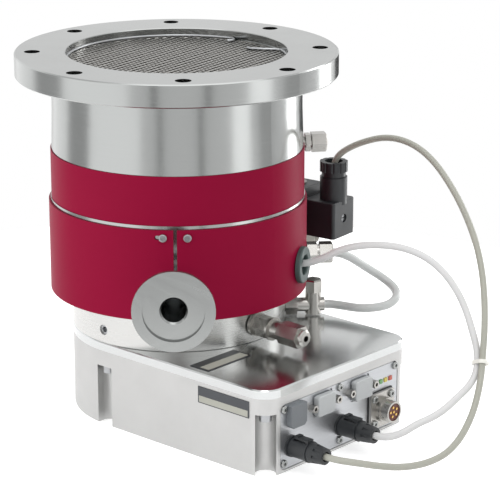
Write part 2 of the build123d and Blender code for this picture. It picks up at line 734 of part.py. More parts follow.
with BuildPart() as axial_bearings:
    low, high = cartridge_bottom + 7, disc_bottom + disc_thickness + axial_air
    for start, end in ((low, disc_bottom - axial_air), (high, high + 6)):
        add(turned([(shaft_radius + 1, start), (core_radius, start), (core_radius, end), (shaft_radius + 1, end)]))
keep(axial_bearings, "axial_bearings")

with BuildPart() as touchdown_bearings:
    for inner, outer, start, end in (
            (landing_radius + landing_play, foot_bore - fit, cartridge_bottom, cartridge_bottom + 7),
            (shaft_radius + landing_play, core_radius, cartridge_top - 8, cartridge_top - 1)):
        middle, race = (inner + outer) / 2, (outer - inner) / 4
        for left, right in ((inner, inner + race), (outer - race, outer)):
            add(turned([(left, start), (right, start), (right, end), (left, end)]))
        with BuildPart(mode=Mode.PRIVATE) as cage:
            add(turned([(inner + race, start + 1), (outer - race, start + 1), (outer - race, end - 1),
                        (inner + race, end - 1)]))
        add(cage.part)
keep(touchdown_bearings, "touchdown_bearings")

# ---------------------------------------------------------------- fittings on the pump
gauge = radial(gauge_azimuth, gauge_height)
nut_start = band_seat + 7.0
nut_end = nut_start + 11.0
with BuildPart() as gauge_port:
    add(bar(gauge, neck_radius - gauge_depth, nut_start, gauge_stub))
    add(bar(gauge, band_seat + 2.6, band_seat + 6, 7.0, 6))
    add(bar(gauge, nut_start, nut_end - 3, 5.2))
keep(gauge_port, "gauge_port")

with BuildPart() as gauge_port_cap:
    add(bar(gauge, nut_start, nut_end, 7.6, 6))
    chamfer(gauge_port_cap.faces().sort_by(Axis(gauge.origin, gauge.z_dir))[-1].edges(), 0.9)
    add(bar(gauge, nut_start, nut_end - 3, 5.2 + fit), mode=Mode.SUBTRACT)
keep(gauge_port_cap, "gauge_port_cap")

upper_coolant = radial(coolant_azimuth, upper_coolant_height)
lower_coolant = radial(coolant_azimuth, lower_coolant_height)
upper_body = cover_radius + 0.6
upper_stop = upper_body + 10.0
tee_reach = 96.5
tee_top = lower_coolant_height + 10.0
tube_radius = coolant_diameter / 2
tube_play = 0.1
tee_axis = Vector(cos(radians(coolant_azimuth)), sin(radians(coolant_azimuth)), 0) * tee_reach
tee_plane = Plane(tee_axis, x_dir=lower_coolant.x_dir, z_dir=(0, 0, 1))
tee_stop = tee_reach + 1.5
with BuildPart() as tube_fittings:
    add(bar(upper_coolant, flange_seat - socket_depth, upper_body, coolant_bore))
    add(bar(upper_coolant, upper_body, upper_body + 7, 8.0, 6))
    add(bar(upper_coolant, upper_body + 7, upper_stop, 5.6))
    with BuildPart(mode=Mode.PRIVATE) as tee:
        add(bar(lower_coolant, base_radius - socket_depth, tee_reach, coolant_bore))
        add(bar(lower_coolant, base_radius + 0.6, base_radius + 9, 7.4, 6))
        add(bar(tee_plane, lid_top + 1.2, tee_top, 5.8))
        add(bar(lower_coolant, tee_reach, tee_reach + 8, 4.9))
        add(bar(lower_coolant, tee_stop, tee_reach + 9, tube_radius + tube_play), mode=Mode.SUBTRACT)
    add(tee.part)
keep(tube_fittings, "tube_fittings")

with BuildPart() as tube_nuts:
    with BuildPart(mode=Mode.PRIVATE) as upper_nut:
        add(bar(upper_coolant, upper_stop - 1, upper_stop + 8.5, 8.0, 6))
        chamfer(upper_nut.faces().sort_by(Axis(upper_coolant.origin, upper_coolant.z_dir))[-1].edges(), 0.8)
        add(bar(upper_coolant, upper_stop - 2, upper_stop, 5.6 + fit), mode=Mode.SUBTRACT)
        add(bar(upper_coolant, upper_stop - 2, upper_stop + 10, tube_radius + tube_play), mode=Mode.SUBTRACT)
    add(upper_nut.part)
    with BuildPart(mode=Mode.PRIVATE) as cap_nut:
        add(bar(tee_plane, tee_top, tee_top + 9, 6.6, 6))
        chamfer(cap_nut.faces().sort_by(Axis.Z)[-1].edges(), 0.9)
    add(cap_nut.part)
keep(tube_nuts, "tube_nuts")

purge = radial(purge_azimuth, purge_height)
purge_end = base_radius + 48.0
with BuildPart() as purge_port:
    add(bar(purge, base_radius - socket_depth, base_radius + 0.6, coolant_bore))
    add(bar(purge, base_radius + 0.6, base_radius + 3, 8.6))
    add(bar(purge, base_radius + 3, base_radius + 16, 7.8, 6))
    add(bar(purge, base_radius + 16, base_radius + 18, 8.2))
    add(bar(purge, base_radius + 18, base_radius + 26, 6.4))
    add(bar(purge, base_radius + 8, purge_end, 2.2), mode=Mode.SUBTRACT)
keep(purge_port, "purge_port")

with BuildPart() as purge_port_cap:
    add(bar(purge, base_radius + 26, purge_end - 4, 8.3, 6))
    add(bar(purge, purge_end - 4, purge_end, 5.8))
    chamfer(purge_port_cap.faces().sort_by(Axis(purge.origin, purge.z_dir))[-1].edges(), 1.4)
    add(bar(purge, base_radius + 20, purge_end + 1, 2.2), mode=Mode.SUBTRACT)
keep(purge_port_cap, "purge_port_cap")

lead = radial(lead_azimuth, lead_height)
with BuildPart() as lead_grommet:
    add(bar(lead, cover_radius + 0.1, cover_radius + 3.6, 13.0))
    add(bar(lead, cover_radius - cover_sheet, cover_radius + 0.1, grommet_seat - fit))
    add(bar(lead, cover_radius - 3, cover_radius + 5, 7.0), mode=Mode.SUBTRACT)
    fillet(lead_grommet.faces().sort_by(Axis(lead.origin, lead.z_dir))[-1].edges(), 1.2)
keep(lead_grommet, "lead_grommet")

# ---------------------------------------------------------------- vent valve and its plug
vent = radial(vent_azimuth, vent_pipe_height)
vent_plane = Plane((vent_x, vent_y, 0), x_dir=vent_turn, z_dir=(0, 0, 1))
coil_bottom = din_bottom - 2.0
coil_top = coil_bottom + coil_height
valve_bottom = ledge_z - 2.0
sleeve_radius = 5.0
plunger_radius = 3.8
plunger_bottom = valve_bottom + 7.0
plunger_length = 26.0
with BuildPart() as vent_valve_body:
    with BuildSketch(vent_plane.offset(valve_bottom)):
        RectangleRounded(20, 20, 2)
    extrude(amount=coil_bottom - valve_bottom)
    add(bar(vent_plane, coil_bottom, coil_top + 1.2, sleeve_radius))
    add(bar(vent_plane, coil_top, coil_top + 1.2, 7.0))
    add(bar(vent, vent_reach - 12, flange_seat - socket_depth, vent_bore))
    add(bar(vent, vent_reach - 11, vent_reach - 14, 6.5, 6))
    add(bar(vent, vent_reach + 9, vent_reach + 17, 5.5))
    add(bar(vent_plane, plunger_bottom, plunger_bottom + plunger_length + plunger_travel + 0.4,
            plunger_radius + slack), mode=Mode.SUBTRACT)
keep(vent_valve_body, "vent_valve_body")

with BuildPart() as vent_plunger:
    add(bar(vent_plane, plunger_bottom, plunger_bottom + plunger_length, plunger_radius))
    chamfer(vent_plunger.faces().sort_by(Axis.Z)[0].edges(), 1.5)
keep(vent_plunger, "vent_plunger")

with BuildPart() as vent_coil:
    with BuildSketch(vent_plane.offset(coil_bottom)):
        RectangleRounded(coil_depth, din_width, 3)
    extrude(amount=coil_height)
    fillet(vent_coil.faces().sort_by(Axis.Z)[-1].outer_wire().edges(), 1.0)
    add(bar(vent_plane, coil_bottom - 1, coil_top + 1, sleeve_radius + fit), mode=Mode.SUBTRACT)
keep(vent_coil, "vent_coil")

din = Plane((din_x, din_y, 0), x_dir=vent_turn, z_dir=(0, 0, 1))
din_middle = (din_front + din_back) / 2
din_mid_height = din_bottom + din_size / 2
gland_radius = 10.0
gland_top = din_bottom + din_size + 17.0
with BuildPart() as din_gasket:
    with BuildSketch(din.offset(din_bottom + 1)):
        with Locations((din_back - din_gasket_sheet / 2, 0)):
            Rectangle(din_gasket_sheet, din_width - 1)
    extrude(amount=din_size - 1)
keep(din_gasket, "din_gasket")

screw_head_sink = 1.2
with BuildPart() as din_housing:
    with BuildSketch(din.offset(din_bottom)):
        with Locations((din_middle, 0)):
            RectangleRounded(din_size, din_width, 2.4)
    extrude(amount=din_size)
    fillet(din_housing.faces().sort_by(Axis.Z)[-1].outer_wire().edges(), 1.2)
    add(bar(din, din_bottom + din_size - 3, gland_top, gland_radius))
    add(bar(din, gland_top - 7, gland_top + 1, gland_radius - 3), mode=Mode.SUBTRACT)
    screw_face = Plane((din_x, din_y, din_mid_height), x_dir=(-vent_turn.Y, vent_turn.X, 0), z_dir=vent_turn)
    add(bar(screw_face, din_back - 1, din_front + 1, 1.6), mode=Mode.SUBTRACT)
    add(bar(screw_face, din_front - 3, din_front + 1, 3.2), mode=Mode.SUBTRACT)
keep(din_housing, "din_housing")

with BuildPart() as din_screw:
    add(bar(screw_face, din_front - 3, din_front - screw_head_sink, 2.9))
    add(bar(screw_face, din_back, din_front - 3, 1.5))
    with BuildSketch(screw_face.offset(din_front - screw_head_sink)):
        Rectangle(6, 0.8)
    extrude(amount=-0.9, mode=Mode.SUBTRACT)
keep(din_screw, "din_screw")

nut_top = gland_top + 11.5
cable_stop = nut_top - 8.0
mouth_radius = 6.6
with BuildPart() as din_gland_nut:
    add(bar(din, gland_top - 6, gland_top, gland_radius - 3 - fit))
    add(bar(din, gland_top, gland_top + 4, gland_radius - 1.2))
    add(bar(din, gland_top + 4, nut_top, gland_radius + 0.2))
    with BuildSketch(din.offset(gland_top + 4)):
        with PolarLocations(gland_radius + 0.8, 12):
            Circle(1.3)
    extrude(amount=nut_top, mode=Mode.SUBTRACT)
    add(bar(din, cable_stop, nut_top + 1, mouth_radius), mode=Mode.SUBTRACT)
keep(din_gland_nut, "din_gland_nut")

# ---------------------------------------------------------------- connector panel
panel_outline_height = panel_top - panel_bottom - 2 * panel_gap
panel_middle = (panel_top + panel_bottom) / 2
panel_face = -0.2
power_screws_at = [(power_y + y * power_pitch / 2, power_z + z * power_pitch / 2)
                   for y in (-1, 1) for z in (-1, 1)]
jack_at = [(y + side * dsub_pitch / 2, dsub_z) for y in dsub_centres for side in (-1, 1)]
lamps_at = [(lamp_y + i * lamp_pitch, lamp_z) for i in range(3)]
socket_hole = plug_radius - 1.0
with BuildPart() as connector_panel:
    with BuildSketch(panel_plane(-panel_thickness)):
        with Locations((0, panel_middle)):
            RectangleRounded(2 * (panel_half_width - panel_gap), panel_outline_height, panel_corner - panel_gap)
        with Locations(*panel_screws_at):
            Circle(m3_shank + fit, mode=Mode.SUBTRACT)
        with Locations(*power_screws_at):
            Circle(m3_shank + fit, mode=Mode.SUBTRACT)
        with Locations(*jack_at):
            Circle(1.5 + fit, mode=Mode.SUBTRACT)
        with Locations(*lamps_at):
            Rectangle(lamp_size + 2 * fit, lamp_size + 2 * fit, mode=Mode.SUBTRACT)
        with Locations((power_y, power_z)):
            Circle(power_radius + fit, mode=Mode.SUBTRACT)
        with Locations(*[(y, socket_z) for y in socket_y]):
            Circle(socket_hole + fit, mode=Mode.SUBTRACT)
        with Locations((service_y, service_z)):
            Rectangle(11 + 2 * fit, 9 + 2 * fit, mode=Mode.SUBTRACT)
        with Locations(*[(y, dsub_z) for y in dsub_centres]):
            RectangleRounded(16 + 2 * fit, 8 + 2 * fit, 1.5, mode=Mode.SUBTRACT)
    extrude(amount=panel_thickness + panel_face)
    # shallow shadow recess round each D-sub cap
    with BuildSketch(panel_plane(panel_face)):
        with Locations(*[(y - 0.6, dsub_z + 0.5) for y in dsub_centres]):
            RectangleRounded(dsub_width + 2.4, dsub_height + 2.4, 2.5)
        with Locations(*[(y, dsub_z) for y in dsub_centres]):
            RectangleRounded(dsub_width - 1, dsub_height - 1, 1.8, mode=Mode.SUBTRACT)
    extrude(amount=-0.8, mode=Mode.SUBTRACT)
keep(connector_panel, "connector_panel")

cap_rise = 4.2
cap_tongue = 4.0
with BuildPart() as service_port_cap:
    with BuildSketch(panel_plane(panel_face)) as service_plan:
        with Locations((service_y, service_z)):
            Rectangle(service_width, service_height)
        chamfer(service_plan.vertices().group_by(Axis.Y)[0], service_chamfer)
    extrude(amount=cap_rise)
    with BuildSketch(panel_plane(panel_face)):
        with Locations((service_y, service_z)):
            Rectangle(11, 9)
    extrude(amount=-cap_tongue)
keep(service_port_cap, "service_port_cap")

with BuildPart() as dsub_caps:
    for y in dsub_centres:
        with BuildPart(mode=Mode.PRIVATE) as cap:
            with BuildSketch(panel_plane(panel_face)):
                with Locations((y, dsub_z)):
                    RectangleRounded(dsub_width, dsub_height, 1.8)
            extrude(amount=cap_rise)
            chamfer(cap.faces().sort_by(Axis.X)[-1].edges(), 0.5)
            with BuildSketch(panel_plane(panel_face)):
                with Locations((y, dsub_z)):
                    RectangleRounded(16, 8, 1.4)
            extrude(amount=-cap_tongue)
        add(cap.part)
keep(dsub_caps, "dsub_caps")

with BuildPart() as jack_screws:
    for y, z in jack_at:
        at = Plane((box_front + panel_face, y, z), x_dir=(0, 1, 0), z_dir=(1, 0, 0))
        with BuildPart(mode=Mode.PRIVATE) as jack:
            add(bar(at, 0, 4.6, jack_corner, 6))
            add(bar(at, -5, 0, 1.5))
            add(bar(at, 1.6, 5, 1.3), mode=Mode.SUBTRACT)
        add(jack.part)
keep(jack_screws, "jack_screws")

with BuildPart() as status_lamps:
    for y, z in lamps_at:
        with BuildPart(mode=Mode.PRIVATE) as lamp:
            with BuildSketch(Plane((box_front - panel_thickness, y, z), x_dir=(0, 1, 0), z_dir=(1, 0, 0))):
                Rectangle(lamp_size, lamp_size)
            extrude(amount=panel_thickness + 0.5)
        add(lamp.part)
keep(status_lamps, "status_lamps")

gasket_sheet = 0.8
flange_sheet = 2.2
power = Plane((box_front + panel_face, power_y, power_z), x_dir=(0, 1, 0), z_dir=(1, 0, 0))
with BuildPart() as power_gasket:
    with BuildSketch(power):
        Rectangle(power_flange + 0.6, power_flange + 0.6)
        Circle(power_radius + fit, mode=Mode.SUBTRACT)
        with GridLocations(power_pitch, power_pitch, 2, 2):
            Circle(m3_shank + fit, mode=Mode.SUBTRACT)
    extrude(amount=gasket_sheet)
keep(power_gasket, "power_gasket")

shell_front = power_reach - panel_face
with BuildPart() as power_shell:
    with BuildSketch(power.offset(gasket_sheet)):
        RectangleRounded(power_flange, power_flange, 1.5)
        with GridLocations(power_pitch, power_pitch, 2, 2):
            Circle(m3_shank + fit, mode=Mode.SUBTRACT)
    extrude(amount=flange_sheet)
    add(bar(power, -panel_thickness, shell_front, power_radius))
    add(bar(power, gasket_sheet, gasket_sheet + 6, power_radius + 1.2))
    add(bar(power, -panel_thickness - 1, shell_front + 1, power_radius - 1.3), mode=Mode.SUBTRACT)
keep(power_shell, "power_shell")

insert_radius = power_radius - 1.3 - fit
pin_radius = 0.9
pin_count = 5
first_pin_azimuth = 30
pin_azimuths = [first_pin_azimuth + 360 / pin_count * i for i in range(pin_count)]
pin_circle = 3.4
pins_at = [(pin_circle * cos(radians(a)), pin_circle * sin(radians(a))) for a in pin_azimuths] + [(0, 0)]
insert_front = shell_front - 0.8
with BuildPart() as power_insert:
    add(bar(power, -panel_thickness, insert_front, insert_radius))
    with BuildSketch(power.offset(insert_front)):
        with Locations(*pins_at):
            Circle(pin_radius + fit)
    extrude(amount=-6, mode=Mode.SUBTRACT)
keep(power_insert, "power_insert")

with BuildPart() as power_pins:
    with BuildSketch(power.offset(insert_front - 6)):
        with Locations(*pins_at):
            Circle(pin_radius)
    extrude(amount=6.5)
keep(power_pins, "power_pins")

with BuildPart() as m3_screws:
    for y, z in panel_screws_at:
        at = Plane((box_front + panel_face, y, z), x_dir=(0, 1, 0), z_dir=(1, 0, 0))
        add(pan_screw(7).moved(at.location))
    for y, z in power_screws_at:
        at = Plane((box_front + panel_face + gasket_sheet + flange_sheet, y, z), x_dir=(0, 1, 0), z_dir=(1, 0, 0))
        add(pan_screw(6).moved(at.location))
keep(m3_screws, "m3_screws")

# ---------------------------------------------------------------- round plugs of the two leads
socket_rim = 1.6
socket_ring = 7.4
with BuildPart() as signal_sockets:
    for y in socket_y:
        at = Plane((box_front + panel_face, y, socket_z), x_dir=(0, 1, 0), z_dir=(1, 0, 0))
        with BuildPart(mode=Mode.PRIVATE) as socket:
            add(bar(at, 0, socket_rim, socket_ring))
            add(bar(at, -11, 0, socket_hole))
        add(socket.part)
keep(signal_sockets, "signal_sockets")

plug_start = socket_rim
plug_body_length = 17.6
latch_start, latch_length = 3.2, 14.0
latch_width, latch_height = 5.6, 2.0
latch_base = plug_radius - 1.6
nut_back = plug_reach - panel_face


def plug_parts(y):
    """Body, latch and clamping nut of a round plug whose axis leaves the panel at y."""
    at = Plane((box_front + panel_face, y, socket_z), x_dir=(0, 1, 0), z_dir=(1, 0, 0))
    with BuildPart() as body:
        add(bar(at, plug_start, plug_start + plug_body_length, plug_radius))
        add(bar(at, plug_start + plug_body_length - 3.4, plug_start + plug_body_length - 2, plug_radius + 0.6))
        with BuildSketch(at.offset(plug_start + latch_start - 0.6)):
            with Locations((0, latch_base + 5)):
                Rectangle(latch_width + 0.8, 10)
        extrude(amount=latch_length - 1.4, mode=Mode.SUBTRACT)
    with BuildPart() as latch:
        with BuildSketch(at.offset(plug_start + latch_start)):
            with Locations((0, latch_base + 1.4 + latch_height / 2)):
                RectangleRounded(latch_width, latch_height, 0.6)
        extrude(amount=latch_length - 3)
        with BuildSketch(at.offset(plug_start + latch_start)):
            with Locations((0, latch_base + 1.4 + latch_height)):
                RectangleRounded(latch_width, 1.6, 0.6)
        extrude(amount=3)
        with BuildSketch(at.offset(plug_start + latch_start + latch_length - 5)):
            with Locations((0, latch_base + 1.7)):
                Rectangle(latch_width, 3.0)
        extrude(amount=2.6)
    with BuildPart() as nut:
        start = plug_start + plug_body_length
        with BuildSketch(at.offset(start)):
            Circle(plug_radius)
        with BuildSketch(at.offset(nut_back)):
            Circle(plug_radius - 1.3)
        loft()
        with BuildSketch(at.offset(start + 3)):
            with PolarLocations(plug_radius, 8):
                Circle(1.1)
        extrude(amount=20, mode=Mode.SUBTRACT)
        add(bar(at, nut_back - 3, nut_back + 1, 3.4), mode=Mode.SUBTRACT)
    return body, latch, nut


for lead_name, y in zip(("grey", "white"), socket_y):
    for piece, piece_name in zip(plug_parts(y), ("body", "latch", "nut")):
        keep(piece, f"{lead_name}_plug_{piece_name}")

# ---------------------------------------------------------------- leads, coolant tube and cable tie
# each route is a hand-made list of points; the first and last runs leave the gland or plug squarely
tied_grey = ((210.5, 80.3, 62.5), (214.5, 73.9, 50.7))
tied_white = ((205.9, 80.9, 60.6), (209.8, 74.5, 48.8))
lead_end = box_front + plug_reach - 3
grey_route = (
    (din_x, din_y, cable_stop), (din_x, din_y, 160.0), (50.3, 116.4, 167.4), (59.0, 119.0, 174.0),
    (71.0, 122.1, 180.0), (86.3, 124.4, 185.0), (102.5, 125.2, 185.5), (118.2, 125.2, 181.6),
    (132.4, 124.4, 173.7), (145.0, 122.5, 163.6), (156.9, 119.7, 152.8), (168.0, 115.8, 141.6),
    (178.3, 111.3, 129.8), (187.1, 106.2, 117.1), (194.8, 100.1, 104.1), (201.3, 93.4, 90.8),
    (206.6, 86.7, 76.9), *tied_grey, (218.3, 65.7, 39.9), (221.6, 56.4, 29.9), (224.6, 45.0, 22.2),
    (226.8, 32.7, 15.8), (227.5, 19.4, 11.2), (225.8, 5.6, 9.1), (222.3, -8.0, 9.0), (216.8, -20.9, 10.3),
    (209.9, -32.8, 13.1), (199.9, -42.3, 15.4), (188.2, socket_y[0], socket_z), (lead_end, socket_y[0], socket_z))
lead_radial = Vector(cos(radians(lead_azimuth)), sin(radians(lead_azimuth)), 0)
white_route = (
    lead_radial * lead_stop + Vector(0, 0, lead_height), lead_radial * (lead_stop + 12) + Vector(0, 0, lead_height),
    (97.7, 42.3, 114.4), (109.6, 47.9, 122.6), (122.9, 54.3, 127.0), (136.9, 60.9, 128.6), (150.8, 67.6, 127.6),
    (164.1, 73.8, 122.8), (176.0, 78.3, 114.0), (185.6, 81.3, 102.2), (193.4, 82.5, 88.9), (200.3, 81.3, 75.1),
    *tied_white, (211.9, 63.9, 42.7), (211.9, 52.1, 38.6), (210.5, 40.8, 33.1), (207.9, 29.3, 28.9),
    (203.7, 17.7, 26.5), (199.5, 8.5, 21.8), (193.2, 3.9, 18.4), (185.0, socket_y[1], socket_z),
    (lead_end, socket_y[1], socket_z))
coolant_radial = Vector(cos(radians(coolant_azimuth)), sin(radians(coolant_azimuth)), 0)
coolant_route = (
    coolant_radial * upper_stop + Vector(0, 0, upper_coolant_height),
    coolant_radial * (upper_stop + 11) + Vector(0, 0, upper_coolant_height),
    (82.0, 91.0, 102.3), (82.6, 101.5, 95.3), (84.5, 111.6, 88.2), (90.6, 119.1, 81.7), (101.3, 119.6, 76.6),
    (110.4, 112.6, 73.3), (112.8, 101.3, 70.3), (107.9, 90.4, 69.1), (98.2, 83.3, 68.4), (86.2, 81.5, 68.0),
    coolant_radial * (tee_stop + 10) + Vector(0, 0, lower_coolant_height),
    coolant_radial * tee_stop + Vector(0, 0, lower_coolant_height))


def bend_radii(points):
    """Radius of the arc at each inner point, from the shorter run beside it and its turn."""
    radii = []
    for before, here, after in zip(points, points[1:], points[2:]):
        arriving, leaving = here - before, after - here
        half_turn = radians(arriving.get_angle(leaving)) / 2
        radii.append(0.45 * min(arriving.length, leaving.length) / tan(half_turn))
    return radii


def lead_body(points, diameter):
    """Round lead or tube of one diameter along straight runs and tangent arcs."""
    points = [Vector(*point) for point in points]
    radii = bend_radii(points)
    with BuildPart() as body:
        with BuildLine() as path:
            FilletPolyline(*points, radius=radii)
        with BuildSketch(Plane(path.line @ 0, z_dir=path.line % 0)):
            Circle(diameter / 2)
        sweep()
    print(f"lead: length {sum(e.length for e in path.edges()):.0f}, tightest bend {min(radii):.1f}")
    return body


keep(lead_body(grey_route, grey_diameter), "grey_cable")
keep(lead_body(white_route, white_diameter), "white_cable")
keep(lead_body(coolant_route, coolant_diameter), "coolant_tube")

tie_sheet, tie_width, tie_play = 1.0, 2.6, 0.2
grey_there = (Vector(*tied_grey[0]) + Vector(*tied_grey[1])) / 2
white_there = (Vector(*tied_white[0]) + Vector(*tied_white[1])) / 2
tie_span = (white_there - grey_there).length
tie_inner = max(grey_diameter, white_diameter) + 2 * tie_play
tie_plane = Plane((grey_there + white_there) / 2, x_dir=white_there - grey_there,
                  z_dir=Vector(*tied_grey[1]) - Vector(*tied_grey[0]))
with BuildPart() as cable_tie:
    with BuildSketch(tie_plane.offset(-tie_width / 2)):
        SlotCenterToCenter(tie_span, tie_inner + 2 * tie_sheet)
        with Locations((0, tie_inner / 2 + tie_sheet + 0.8)):
            Rectangle(5, 3.2)
        SlotCenterToCenter(tie_span, tie_inner, mode=Mode.SUBTRACT)
    extrude(amount=tie_width)
keep(cable_tie, "cable_tie")
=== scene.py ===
"""Looks of a turbomolecular pump with its controller box, plugs and leads.

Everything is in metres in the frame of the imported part: the origin is on the pump axis in
the plane the box stands on, +Z points to the inlet and +X out of the connector panel.
"""
import json
from math import cos, pi, radians, sin

import bpy
from bpy.props import FloatProperty, PointerProperty, StringProperty
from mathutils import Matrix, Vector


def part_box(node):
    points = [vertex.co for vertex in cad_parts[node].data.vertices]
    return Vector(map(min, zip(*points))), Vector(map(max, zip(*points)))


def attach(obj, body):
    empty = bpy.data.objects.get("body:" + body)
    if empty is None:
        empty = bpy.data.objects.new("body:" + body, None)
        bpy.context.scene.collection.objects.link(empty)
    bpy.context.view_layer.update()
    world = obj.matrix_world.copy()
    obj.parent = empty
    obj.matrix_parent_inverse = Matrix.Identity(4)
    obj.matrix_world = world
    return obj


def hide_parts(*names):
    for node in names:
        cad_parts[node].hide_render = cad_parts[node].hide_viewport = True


bl_info = {
    "name": "Turbomolecular Pump Looks",
    "version": (1, 0, 0),
    "blender": (4, 5, 0),
    "location": "3D View > Sidebar > Pump",
    "description": "Dresses the packed turbomolecular pump with finishes, leads and small trim",
    "category": "Object",
}

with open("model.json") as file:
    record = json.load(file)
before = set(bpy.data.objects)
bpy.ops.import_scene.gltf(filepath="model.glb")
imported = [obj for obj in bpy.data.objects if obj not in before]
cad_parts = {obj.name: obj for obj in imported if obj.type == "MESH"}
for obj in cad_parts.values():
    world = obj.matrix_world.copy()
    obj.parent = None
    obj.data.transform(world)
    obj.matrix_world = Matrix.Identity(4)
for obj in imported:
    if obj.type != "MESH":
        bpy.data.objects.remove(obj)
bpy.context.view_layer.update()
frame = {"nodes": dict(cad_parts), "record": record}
MM = 0.001
WHITE = (1, 1, 1, 1)

# the foreline port lies level, with its axis turned from that of the panel
PORT_TURN = (0, -radians(90), radians(47.5))
PORT_HEIGHT = 113 * MM

# sizes of the patterns that repeat from finish to finish, in millimetres
WIPE_SIZE = 28.6  # broad wipe marks on turned metal
HANDLING_SIZE = 45.5  # marks of hands on blasted or polished metal
SCRATCH_SIZE = (5.0, 16.7, 0.4)  # scratches of brushed sheet: short across Z, long along Y
PEEL_SIZE = 2.38  # orange peel of sprayed enamel
CLOUD_SIZE = 71.4  # slow change in the depth of enamel
RUB_SIZE = 16.7  # spots where plastic is worn glossy
HAZE_SIZE = 40.0  # milkiness of the coolant tube


# ------------------------------------------------------------------ colour and nodes
def linear(hex_code):
    """Linear RGBA of an sRGB hex code."""
    channels = [int(hex_code[i:i + 2], 16) / 255 for i in (1, 3, 5)]
    return (*[c / 12.92 if c <= 0.04045 else ((c + 0.055) / 1.055) ** 2.4 for c in channels], 1.0)


def toned(hex_code, share, lift=0.0):
    """Linear RGBA of a hex code, made darker or lighter by a share."""
    return [*(min(1.0, c * share + lift) for c in linear(hex_code)[:3]), 1.0]


def pattern_scale(size_mm):
    """Scale at which a pattern's features have this size."""
    return 1000 / size_mm


def add_node(tree, kind, inputs=None, **settings):
    """Add a node with its settings; an input is a value or the output socket that feeds it."""
    made = tree.nodes.new(kind)
    for name, value in settings.items():
        setattr(made, name, value)
    for key, value in (inputs or {}).items():
        if isinstance(value, bpy.types.NodeSocket):
            tree.links.new(value, made.inputs[key])
        else:
            made.inputs[key].default_value = value
    return made


def new_material(name):
    """New material; gives it with its node tree and its Principled shader."""
    material = bpy.data.materials.new(name)
    material.use_nodes = True
    return material, material.node_tree, material.node_tree.nodes["Principled BSDF"]


def shade(tree, shader, tones, tone_by, relief_by, strength, depth_mm,
          gloss=None, gloss_by=None, gloss_from=(0.3, 0.7)):
    """Let patterns drive a shader: colour between two tones, relief, and gloss where given."""
    tone = add_node(tree, "ShaderNodeMix", {"Factor": tone_by, 6: tones[0], 7: tones[1]},
                    data_type="RGBA")
    tree.links.new(tone.outputs[2], shader.inputs["Base Color"])
    bump = add_node(tree, "ShaderNodeBump", {"Height": relief_by, "Strength": strength,
                                             "Distance": depth_mm * MM})
    tree.links.new(bump.outputs[0], shader.inputs["Normal"])
    if gloss:
        rough = add_node(tree, "ShaderNodeMapRange", {
            "Value": gloss_by, "From Min": gloss_from[0], "From Max": gloss_from[1],
            "To Min": gloss[0], "To Max": gloss[1]})
        tree.links.new(rough.outputs[0], shader.inputs["Roughness"])


# ------------------------------------------------------------------ finishes
def machined(name, colour, roughness, pitch_mm, depth_mm, axis_turn=(0, 0, 0),
             centre=(0, 0, 0), directional=0.0):
    """Bare metal turned on a lathe: fine rings about an axis break its highlight across them."""
    material, tree, shader = new_material(name)
    place = add_node(tree, "ShaderNodeTexCoord").outputs["Object"]
    place = add_node(tree, "ShaderNodeVectorMath", {0: place, 1: centre},
                     operation="SUBTRACT").outputs[0]
    place = add_node(tree, "ShaderNodeVectorRotate", {"Vector": place, "Rotation": axis_turn},
                     rotation_type="EULER_XYZ").outputs[0]
    flat = add_node(tree, "ShaderNodeVectorMath", {0: place, 1: (1, 1, 0)},
                    operation="MULTIPLY").outputs[0]
    reach = add_node(tree, "ShaderNodeVectorMath", {0: flat}, operation="LENGTH").outputs["Value"]
    height = add_node(tree, "ShaderNodeSeparateXYZ", {0: place}).outputs["Z"]
    along = add_node(tree, "ShaderNodeMath", {0: reach, 1: height}, operation="ADD").outputs[0]
    rings = add_node(tree, "ShaderNodeTexNoise", {
        "W": along, "Scale": pattern_scale(pitch_mm), "Detail": 3.0, "Roughness": 0.65},
        noise_dimensions="1D").outputs["Fac"]
    wiped = add_node(tree, "ShaderNodeTexNoise", {
        "Vector": place, "Scale": pattern_scale(WIPE_SIZE), "Detail": 4.0}).outputs["Fac"]
    both = add_node(tree, "ShaderNodeMath", {0: rings, 1: wiped}, operation="MULTIPLY").outputs[0]
    shade(tree, shader, (toned(colour, 0.93), linear(colour)), rings, rings, 0.35, depth_mm,
          (roughness * 0.8, roughness * 1.25), both, (0.1, 0.45))
    shader.inputs["Metallic"].default_value = 1.0
    if directional:
        shader.inputs["Anisotropic"].default_value = directional
        tangent = add_node(tree, "ShaderNodeTangent", direction_type="RADIAL", axis="Z")
        tree.links.new(tangent.outputs[0], shader.inputs["Tangent"])
    return material


def blasted(name, colour, roughness, grit_mm, depth_mm):
    """Blasted, tumbled or polished metal: a fine even grit, and handling marks in its gloss."""
    material, tree, shader = new_material(name)
    place = add_node(tree, "ShaderNodeTexCoord").outputs["Object"]
    grit = add_node(tree, "ShaderNodeTexNoise", {
        "Vector": place, "Scale": pattern_scale(grit_mm), "Detail": 2.0}).outputs["Fac"]
    marks = add_node(tree, "ShaderNodeTexNoise", {
        "Vector": place, "Scale": pattern_scale(HANDLING_SIZE), "Detail": 5.0,
        "Roughness": 0.6}).outputs["Fac"]
    shade(tree, shader, (linear(colour), toned(colour, 0.94)), marks, grit, 0.3, depth_mm,
          (roughness * 0.85, roughness * 1.2), marks)
    shader.inputs["Metallic"].default_value = 1.0
    return material


